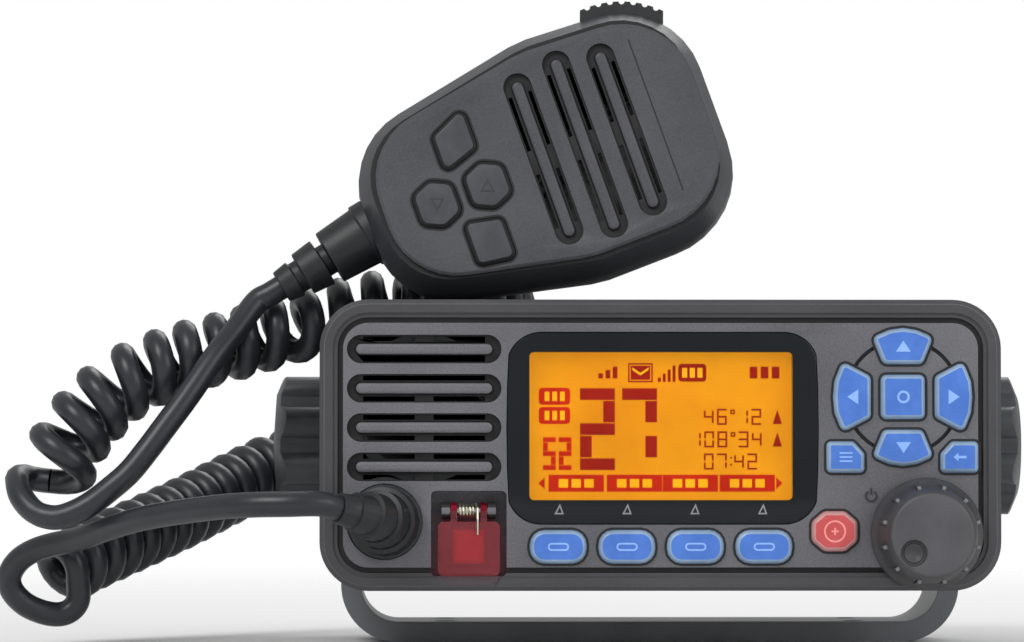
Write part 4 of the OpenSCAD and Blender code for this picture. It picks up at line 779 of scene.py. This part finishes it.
for key, turn in (("up", 0), ("left", 90), ("down", 180), ("right", 270)):
    bm = bmesh.new()
    shape(bm, [(-1.75, -1.35), (1.75, -1.35), (0, 1.25)])
    place = on_key(f"key_{key}") @ Matrix.Rotation(radians(turn), 4, "Z")
    ink_or_shade_film(f"{key}_key_mark", bm, f"key_{key}", blue_print, place)

bm = bmesh.new()
outer = loop(bm, [(1.5 * cos(2 * pi * i / 32), 1.5 * sin(2 * pi * i / 32)) for i in range(32)], 0)
inner = loop(bm, [(0.95 * cos(2 * pi * i / 32), 0.95 * sin(2 * pi * i / 32)) for i in range(32)], 0)
skin(bm, [outer, inner])
ink_or_shade_film("select_key_mark", bm, "key_select", blue_print, on_key("key_select"))

bm = bmesh.new()
for y in (-0.95, 0, 0.95):
    bar(bm, -1.5, y - 0.19, 1.5, y + 0.19)
ink_or_shade_film("menu_key_mark", bm, "key_menu", blue_print, on_key("key_menu"))

bm = bmesh.new()
shape(bm, [(-1.6, 0), (-0.4, 1.0), (-0.4, 0.3), (1.5, 0.3), (1.5, -0.3), (-0.4, -0.3), (-0.4, -1.0)])
ink_or_shade_film("back_key_mark", bm, "key_back", blue_print, on_key("key_back"))

for k in range(1, 5):
    bm = bmesh.new()
    frame_of(bm, box_outline(0, 0, 5.0, 1.9, 0.94), 0.42)
    ink_or_shade_film(f"soft_key_mark_{k}", bm, f"soft_key_{k}", blue_print, on_key(f"soft_key_{k}"))

bm = bmesh.new()
frame_of(bm, [(2.6 * cos(2 * pi * i / 32), 2.6 * sin(2 * pi * i / 32)) for i in range(32)], 0.42)
bar(bm, -0.85, -0.22, 0.85, 0.22)
bar(bm, -0.22, 0.22, 0.22, 0.85)
bar(bm, -0.22, -0.85, 0.22, -0.22)
ink_or_shade_film("call_key_mark", bm, "key_call", red_print, on_key("key_call"))

# %% [markdown]
# ## Display
# The amber panel is lit from behind, and its dots are drawn in dark red. Numbers
# are put together from seven bars each, as a segment display does it, and stand
# in the same places as on the real screen. The tags stay blank.

# %% Segment digits
SEGMENTS = {
    "0": "abcdef", "1": "bc", "2": "abged", "3": "abgcd", "4": "fgbc", "5": "afgcd", "6": "afgedc", "7": "abc",
    "8": "abcdefg",
}  # fmt: skip
LCD = PANEL @ Matrix.Translation((0, 4.45 * MM, -2.99 * MM))


def digit(bm, sign, x, y, width, height, stroke):
    """One number of seven bars, its lower left corner at (x, y)."""
    half, gap = height / 2, stroke * 0.08
    places = {
        "a": (0, height - stroke, width, height), "g": (0, half - stroke / 2, width, half + stroke / 2),
        "d": (0, 0, width, stroke), "f": (0, half + stroke / 2 + gap, stroke, height - stroke - gap),
        "b": (width - stroke, half + stroke / 2 + gap, width, height - stroke - gap),
        "e": (0, stroke + gap, stroke, half - stroke / 2 - gap),
        "c": (width - stroke, stroke + gap, width, half - stroke / 2 - gap),
    }  # fmt: skip
    for name in SEGMENTS[sign]:
        x0, y0, x1, y1 = places[name]
        if name in "ag" and sign in "14":
            x0 = x0 if name == "a" else stroke * 0
        bar(bm, x + x0, y + y0, x + x1, y + y1)


def number(bm, text, x, y, width, height, stroke, pitch):
    """A row of digits. A colon and a degree sign are small squares."""
    for sign in text:
        if sign == ":":
            for level in (0.25, 0.68):
                bar(bm, x, y + height * level, x + stroke, y + height * level + stroke)
            x += 2.2 * stroke
        elif sign == "o":
            frame_of(bm, [(x, y + height - 1.3), (x + 1.1, y + height - 1.3), (x + 1.1, y + height - 0.2),
                          (x, y + height - 0.2)], 0.34)  # fmt: skip
            x += 1.9
        elif sign == " ":
            x += pitch
        else:
            digit(bm, sign, x, y, width, height, stroke)
            x += pitch


# %% Display graphics
bm = bmesh.new()
digit(bm, "2", -18.9, -10.3, 8.2, 19.2, 2.75)
digit(bm, "7", -9.0, -10.3, 8.2, 19.2, 2.75)
ink_or_shade_film("display_big_number", bm, "radio", segment, LCD, 0.03)

bm = bmesh.new()
number(bm, "52", -27.6, -10.3, 3.0, 7.7, 1.15, 3.7)
ink_or_shade_film("display_small_number", bm, "radio", segment_red, LCD, 0.03)

bm = bmesh.new()
number(bm, "46o12", 10.2, 0.3, 2.3, 3.8, 0.42, 3.1)
number(bm, "108o34", 7.2, -5.0, 2.3, 3.8, 0.42, 3.1)
number(bm, "07:42", 10.2, -10.2, 2.3, 3.8, 0.42, 3.1)
for y in (0.3, -5.0):
    shape(bm, [(26.4, y + 0.2), (28.6, y + 0.2), (27.5, y + 3.6)])
ink_or_shade_film("display_rows", bm, "radio", segment, LCD, 0.03)

bm = bmesh.new()
for y in (7.0, 2.5):
    shape(bm, box_outline(-24.9, y, 7.4, 4.0, 0.9))
for x in (-19.8, -6.1, 7.0, 20.4):
    bar(bm, x - 6.5, -15.4, x + 6.5, -11.4)
for side in (-1, 1):
    shape(bm, [(side * 27.2, -12.0), (side * 27.2, -14.8), (side * 28.7, -13.4)])
ink_or_shade_film("display_boxes", bm, "radio", segment_red, LCD, 0.03)

# %% [markdown]
# Icons and the marks inside the boxes are cut out in amber: an envelope, two
# level bars and four little dashes above the soft keys.

# %% Display icons
bm = bmesh.new()
frame_of(bm, [(-7.6, 10.3), (-1.8, 10.3), (-1.8, 14.8), (-7.6, 14.8)], 0.35)
shape(bm, [(-7.0, 10.9), (-2.4, 10.9), (-2.4, 14.2), (-7.0, 14.2)])
for k in range(4):
    bar(bm, -0.6 + k * 1.15, 10.4, 0.1 + k * 1.15, 11.4 + k * 0.95)
shape(bm, box_outline(7.5, 12.55, 6.6, 4.2, 0.9))
for k in range(3):
    bar(bm, -14.6 + k * 1.7, 11.2, -13.5 + k * 1.7, 12.4 + k * 0.8)
    bar(bm, 21.0 + k * 2.6, 11.2, 22.8 + k * 2.6, 14.0)
ink_or_shade_film("display_icons", bm, "radio", segment, LCD, 0.03)

bm = bmesh.new()
shape(bm, [(-6.6, 13.8), (-6.6, 13.2), (-4.7, 11.9), (-2.8, 13.2), (-2.8, 13.8), (-4.7, 12.5)], 0.04)
for y in (7.0, 2.5):
    for k in range(3):
        bar(bm, -27.2 + k * 1.8, y - 1.1, -26.1 + k * 1.8, y + 1.1, 0.04)
for x in (-19.8, -6.1, 7.0, 20.4):
    for k in (-1, 0, 1):
        bar(bm, x + 3.0 * k - 1.1, -14.4, x + 3.0 * k + 1.1, -12.4, 0.04)
for k in (-1, 0, 1):
    bar(bm, 7.5 + 1.8 * k - 0.6, 11.4, 7.5 + 1.8 * k + 0.6, 13.7, 0.04)
ink_or_shade_film("display_marks", bm, "radio", amber_tag, LCD, 0.03)

# %% [markdown]
# ## Lens
# The lens is an acrylic plate whose border is printed black from behind, so the
# border looks wet and deep. It is made as two pieces: the glossy border with its
# opening, and the clear window that fills the opening. Two loops with the same
# number of corners are bridged, which gives the border without any cutting.

# %% Lens border and window
LENS_X, LENS_Y, LENS_FRONT, LENS_BACK = 0.4, 3.95, 0.1, -1.6
WINDOW = (0.0, 4.45, 61.7, 34.7)


def lens_outline(shrink):
    """The lens's outline, its sides bulging out a little towards the middle."""
    corners = []
    for x, y in box_outline(0, 0, 73 - 2 * shrink, 44.9 - 2 * shrink, 8 - shrink, 8, 10):
        side = 1 if x > 0 else -1
        bulge = 36.5 - shrink - y * y / 640
        corners.append((LENS_X + side * min(abs(x), bulge), LENS_Y + y))
    return corners


def window_outline(grow=0.0):
    x, y, w, h = WINDOW
    return box_outline(x, y, w + 2 * grow, h + 2 * grow, 1.1 + grow, 8, 10)


bm = bmesh.new()
loops = [
    loop(bm, window_outline(), LENS_BACK), loop(bm, window_outline(), LENS_FRONT),
    loop(bm, lens_outline(0.45), LENS_FRONT),
    loop(bm, lens_outline(0.1), LENS_FRONT - 0.12), loop(bm, lens_outline(0), LENS_FRONT - 0.5),
    loop(bm, lens_outline(0), LENS_BACK),
]  # fmt: skip
skin(bm, loops + [loops[0]])
piece("lens_border", bm, "radio", mask_ink, PANEL, "display_lens")

bm = bmesh.new()
back = shape(bm, window_outline(-0.02), LENS_BACK)
front = bmesh.ops.extrude_face_region(bm, geom=[back])["geom"]
bmesh.ops.translate(bm, verts=[v for v in front if isinstance(v, bmesh.types.BMVert)], vec=(0, 0, 1.68))
piece("lens_window", bm, "radio", window, PANEL)

bm = bmesh.new()
for x in (-23.9, -8.0, 7.9, 23.8):
    frame_of(bm, [(x - 1.1, -16.2), (x + 1.1, -16.2), (x + 0.2, -13.7)], 0.32)
ink_or_shade_film("lens_arrows", bm, "radio", grey_print, PANEL @ Matrix.Translation((0, 0, LENS_FRONT * MM)))

# %% [markdown]
# The panel carries one generic power sign beside the knob, moulded 0.1 mm high
# in the case and darker than it.

# %% Power sign
bm = bmesh.new()
ring = [radians(125 + 290 * i / 20) for i in range(21)]
outer = [(1.45 * cos(a), 1.45 * sin(a)) for a in ring]
inner = [(1.05 * cos(a), 1.05 * sin(a)) for a in ring]
shape(bm, outer + inner[::-1])
bar(bm, -0.2, 0.3, 0.2, 1.9)
sign_place = PANEL @ Matrix.Translation((49.3 * MM, -11.9 * MM, 0.02 * MM))
ink_or_shade_film("power_sign", bm, "radio", dark_print, sign_place)

# %% [markdown]
# The microphone's plate has one fine crease beyond the slots, where it starts to
# fall away; a thin dark bar lies along it as painted shade. Each of its two round
# keys has an outlined arrow.

# %% Crease and arrows of the microphone
bm = bmesh.new()
# A thin dark bar of painted shade along the crease.
bar(bm, 28.5, -18.3, 28.85, 20.3)
ON_PLATE = MIC @ Matrix.Translation((0, 0, -0.01 * MM))
ink_or_shade_film("microphone_crease_painted_shade", bm, "microphone", painted_shade_abs, ON_PLATE, 0.03)

for key, turn in (("up", 1), ("down", -1)):
    low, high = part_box(f"mic_key_{key}")
    middle = MIC.inverted() @ ((low + high) / 2)
    top = max((MIC.inverted() @ v.co).z for v in nodes[f"mic_key_{key}"].data.vertices)
    bm = bmesh.new()
    frame_of(bm, [(-1.7, -1.5 * turn), (1.7, -1.5 * turn), (0, 1.6 * turn)], 0.28)
    place = MIC @ Matrix.Translation((middle.x, middle.y, top - 0.01 * MM)) @ Matrix.Rotation(radians(-19.5), 4, "Z")
    ink_or_shade_film(f"microphone_{key}_mark", bm, f"mic_key_{key}", dark_print, place, 0.06)

# %% [markdown]
# ## Volume knob
# The knob is a turned-looking moulding: a skirt, a tapering flank with twelve
# thin ribs, and a flat face with a finger dimple. A stack of circles with the
# same number of corners is bridged from the foot to the middle of the dimple, so
# the dimple is part of one skin.

# %% Knob body
ROUND = 96
KNOB = PANEL @ Matrix.Translation((62.2 * MM, -20.85 * MM, 0))


def circle(bm, r, z, x=0.0, y=0.0, n=ROUND):
    """A loop of edges round (x, y)."""
    return loop(bm, [(x + r * cos(2 * pi * i / n), y + r * sin(2 * pi * i / n)) for i in range(n)], z)


bm = bmesh.new()
flank = [(9.4, 1.3), (12.9, 1.3), (13.2, 1.6), (13.2, 2.6), (12.9, 3.1), (12.2, 3.9), (11.7, 5.2), (11.3, 8),
         (11.0, 11), (10.8, 13.2), (10.4, 14.6), (10.0, 15.6), (9.6, 16.1), (9.1, 16.3)]  # fmt: skip
dimple = [(3.35, 16.3), (3.15, 16.2), (2.95, 15.7), (2.7, 15.2), (2.45, 15.1), (2.2, 15.3), (1.9, 15.2), (1.3, 14.8),
          (0.7, 14.6), (0.3, 14.55)]  # fmt: skip
stack = [circle(bm, r, z) for r, z in flank] + [circle(bm, r, z, -4.4, -4.2) for r, z in dimple]
skin(bm, stack)
for ends in (stack[0], stack[-1]):
    bmesh.ops.contextual_create(bm, geom=ends)
# The flat face gets the lighter copy of the knob rubber, as painted light.
for face in bm.faces:
    face.material_index = 1 if face.calc_center_median().z > 15.9 and face.calc_center_median().xy.length < 9.7 else 0
piece("volume_knob_cap", bm, "volume_knob", [knob_rubber, knob_face_painted_light], KNOB, "volume_knob", 40)

# %% Knob ribs
bm = bmesh.new()
for k in range(12):
    turn = Matrix.Rotation(2 * pi * (k + 0.5) / 12, 4, "Z")
    block = Matrix.Translation((11.15, 0, 8.1)) @ Matrix.Diagonal((1.0, 0.9, 10.4, 1))
    rib = bmesh.ops.create_cube(bm, size=1, matrix=turn @ block)
    for vert in rib["verts"]:
        local = turn.inverted() @ vert.co
        if local.x > 11 and local.z < 5:
            local.x = 12.1
            vert.co = turn @ local
bmesh.ops.bevel(
    bm, geom=bm.edges[:], offset=0.16, offset_type="OFFSET", affect="EDGES", segments=2, profile=0.5, material=-1
)
# The ribs' upper ends are painted pale, as a painted highlight.
for face in bm.faces:
    face.material_index = 1 if face.calc_center_median().z > 13 else 0
piece("volume_knob_ribs", bm, "volume_knob", [knob_rubber, rib_painted_highlight], KNOB, sharp=40)

# %% [markdown]
# ## Cord ends and the hanger
# The rubber boot of the plug and the strain relief of the microphone have their
# steps already. A small radius makes them look moulded. The hanger is a turned
# steel button. The boot bends with the cord, and a soft rib stands round it at
# each step, square to the bend, so each rib is a ring of four circles set on the
# cord's line and bridged round.

# %% Boots and hanger
rounded("mic_plug", "jack_plug_boot", "radio", boot_rubber, 0.12, 1, 20, 20)
rounded("mic_strain_relief", "microphone_strain_relief", "microphone", boot_rubber, 0.3, 2, 25, 40)
rounded("mic_hanger", "microphone_hanger", "microphone", steel, 0.3, 2)

# %% Ribs of the boot
RIBS = ((0.2, 8.4), (0.36, 7.5), (0.52, 6.4), (0.68, 5.3), (0.84, 4.3))  # share of the line, radius in mm
RIB_SECTION = ((-0.75, -0.5), (-0.45, 0.25), (0.2, 0.3), (0.45, -0.7))  # along the line, out from the radius
bm = bmesh.new()
for share, r in RIBS:
    k = round(share * (len(plug_line) - 1))
    way = (plug_line[k + 1] - plug_line[k - 1]).normalized()
    turn = way.to_track_quat("Z", "Y").to_matrix().to_4x4()
    sleeve = []
    for along, out in RIB_SECTION:
        place = Matrix.Translation(plug_line[k] + along * way) @ turn
        made = bmesh.ops.create_circle(bm, segments=48, radius=r + out, matrix=place)
        sleeve.append(list({e for v in made["verts"] for e in v.link_edges}))
    skin(bm, sleeve)
    bmesh.ops.bridge_loops(bm, edges=sleeve[0] + sleeve[-1])
piece("jack_plug_boot_ribs", bm, "radio", boot_rubber, Matrix())

# %% [markdown]
# ## Slot bars and the painted shade round the keys
# The bars in the slots are crowned, not flat. Their long top edges are picked by
# how far they lie from the bar's middle line, and bevelled wide. Round each key a
# thin dark band is laid on the panel as painted shade, for the gap's shadow. Its
# outline is the hull of the key's own points, moved out by half a millimetre.

# %% Crowned bars
def crown(mesh, place, z, middles, half_length, half_width, offset):
    """Bevels the top edges that run round bars with these middle points, at the height z of that place.

    A half length below zero stands for a bar that runs along y."""
    bm = bmesh.new()
    bm.from_mesh(mesh)
    back = place.inverted()
    picked = []
    for edge in bm.edges:
        a, b = (back @ v.co / MM for v in edge.verts)
        if abs(a.z - z) > 0.06 or abs(b.z - z) > 0.06:
            continue
        for (x, y), reach in zip(middles, half_length):
            ends = []
            for p in (a, b):
                if reach > 0:
                    dx, dy = max(0, abs(p.x - x) - reach), abs(p.y - y)
                else:
                    dx, dy = abs(p.x - x), max(0, abs(p.y - y) + reach)
                ends.append(abs(sqrt(dx * dx + dy * dy) - half_width))
            if max(ends) < 0.12:
                picked.append(edge)
    bmesh.ops.bevel(
        bm, geom=picked, offset=offset * MM, offset_type="OFFSET", affect="EDGES", segments=4, profile=0.5, material=-1,
        clamp_overlap=True,
    )  # fmt: skip
    bm.to_mesh(mesh)
    bm.free()
    print("bar edges bevelled:", len(picked))


PANEL_Z = -0.2
SLOT_W, SLOT_LAND, SLOT_GROOVE = 36.2, 2.5, 1.85
SLOT_ROOM, SLOT_TOP = 68.3 - 16.2 - 8.95 - 0.55 - 8.3, 34.15 - 8.3
SLOT_PITCH = (SLOT_ROOM + SLOT_LAND) / 4
SLOT_H = SLOT_PITCH - SLOT_LAND
SLOT_BAR = SLOT_H - 2 * SLOT_GROOVE
slot_rows = [(-55.5, SLOT_TOP - SLOT_H / 2 - k * SLOT_PITCH) for k in range(4)]
reach = (SLOT_W - SLOT_H) / 2
crown(case.data, PANEL, PANEL_Z, slot_rows, [reach] * 4, SLOT_BAR / 2, 1.05)
MIC_SLOTS, MIC_SLOT_W, MIC_SLOT_BAR = [(0, 43.4), (10.5, 47.5), (21, 43.7)], 6.8, 3.1
mic_reach = [-(length - MIC_SLOT_W) / 2 for x, length in MIC_SLOTS]
crown(mic_front.data, MIC, 0.0, [(x, 0) for x, length in MIC_SLOTS], mic_reach, MIC_SLOT_BAR / 2, 1.0)


# %% Painted shade round the keys
def hull_of(points):
    """The corners of the smallest convex outline round flat points."""
    points = sorted(set((round(x, 3), round(y, 3)) for x, y in points))
    rows = []
    for run in (points, points[::-1]):
        side = []
        for p in run:
            while len(side) > 1 and (
                (side[-1][0] - side[-2][0]) * (p[1] - side[-2][1]) - (side[-1][1] - side[-2][1]) * (p[0] - side[-2][0])
            ) <= 0.001:
                side.pop()
            side.append(p)
        rows += side[:-1]
    return rows


def grown(corners, by):
    """An outline moved outwards at every corner."""
    moved = []
    for i, p in enumerate(corners):
        a, b = Vector(corners[i - 1]), Vector(corners[(i + 1) % len(corners)])
        way = (Vector(p) - a).normalized() + (b - Vector(p)).normalized()
        out = Vector((way.y, -way.x)).normalized()
        moved.append(tuple(Vector(p) + by * out))
    return moved


def shade_band(bm, node, place, low, high, width):
    """The band of painted shade round a key, between two growths of its outline."""
    back = place.inverted()
    local = [back @ v.co / MM for v in nodes[node].data.vertices]
    outline = hull_of([(p.x, p.y) for p in local if low < p.z < high])
    skin(bm, [loop(bm, grown(outline, 0.12), 0), loop(bm, grown(outline, width), 0)])


# Painted shade: a dark band round each panel key, where the gap round it lies in shadow.
bm = bmesh.new()
for node in [f"key_{key}" for key in PANEL_KEYS] + [f"soft_key_{k}" for k in range(1, 5)]:
    shade_band(bm, node, PANEL, -0.7, 2.0, 0.62)
ON_PANEL = PANEL @ Matrix.Translation((0, 0, (PANEL_Z - 0.01) * MM))
ink_or_shade_film("key_gap_painted_shade", bm, "radio", painted_shade_abs, ON_PANEL, 0.04)

# The same painted shade round the microphone's keys.
bm = bmesh.new()
for key in ("high", "low", "up", "down"):
    shade_band(bm, f"mic_key_{key}", MIC, -0.6, 2.0, 0.6)
ink_or_shade_film("mic_key_gap_painted_shade", bm, "microphone", painted_shade_abs, ON_PLATE, 0.04)
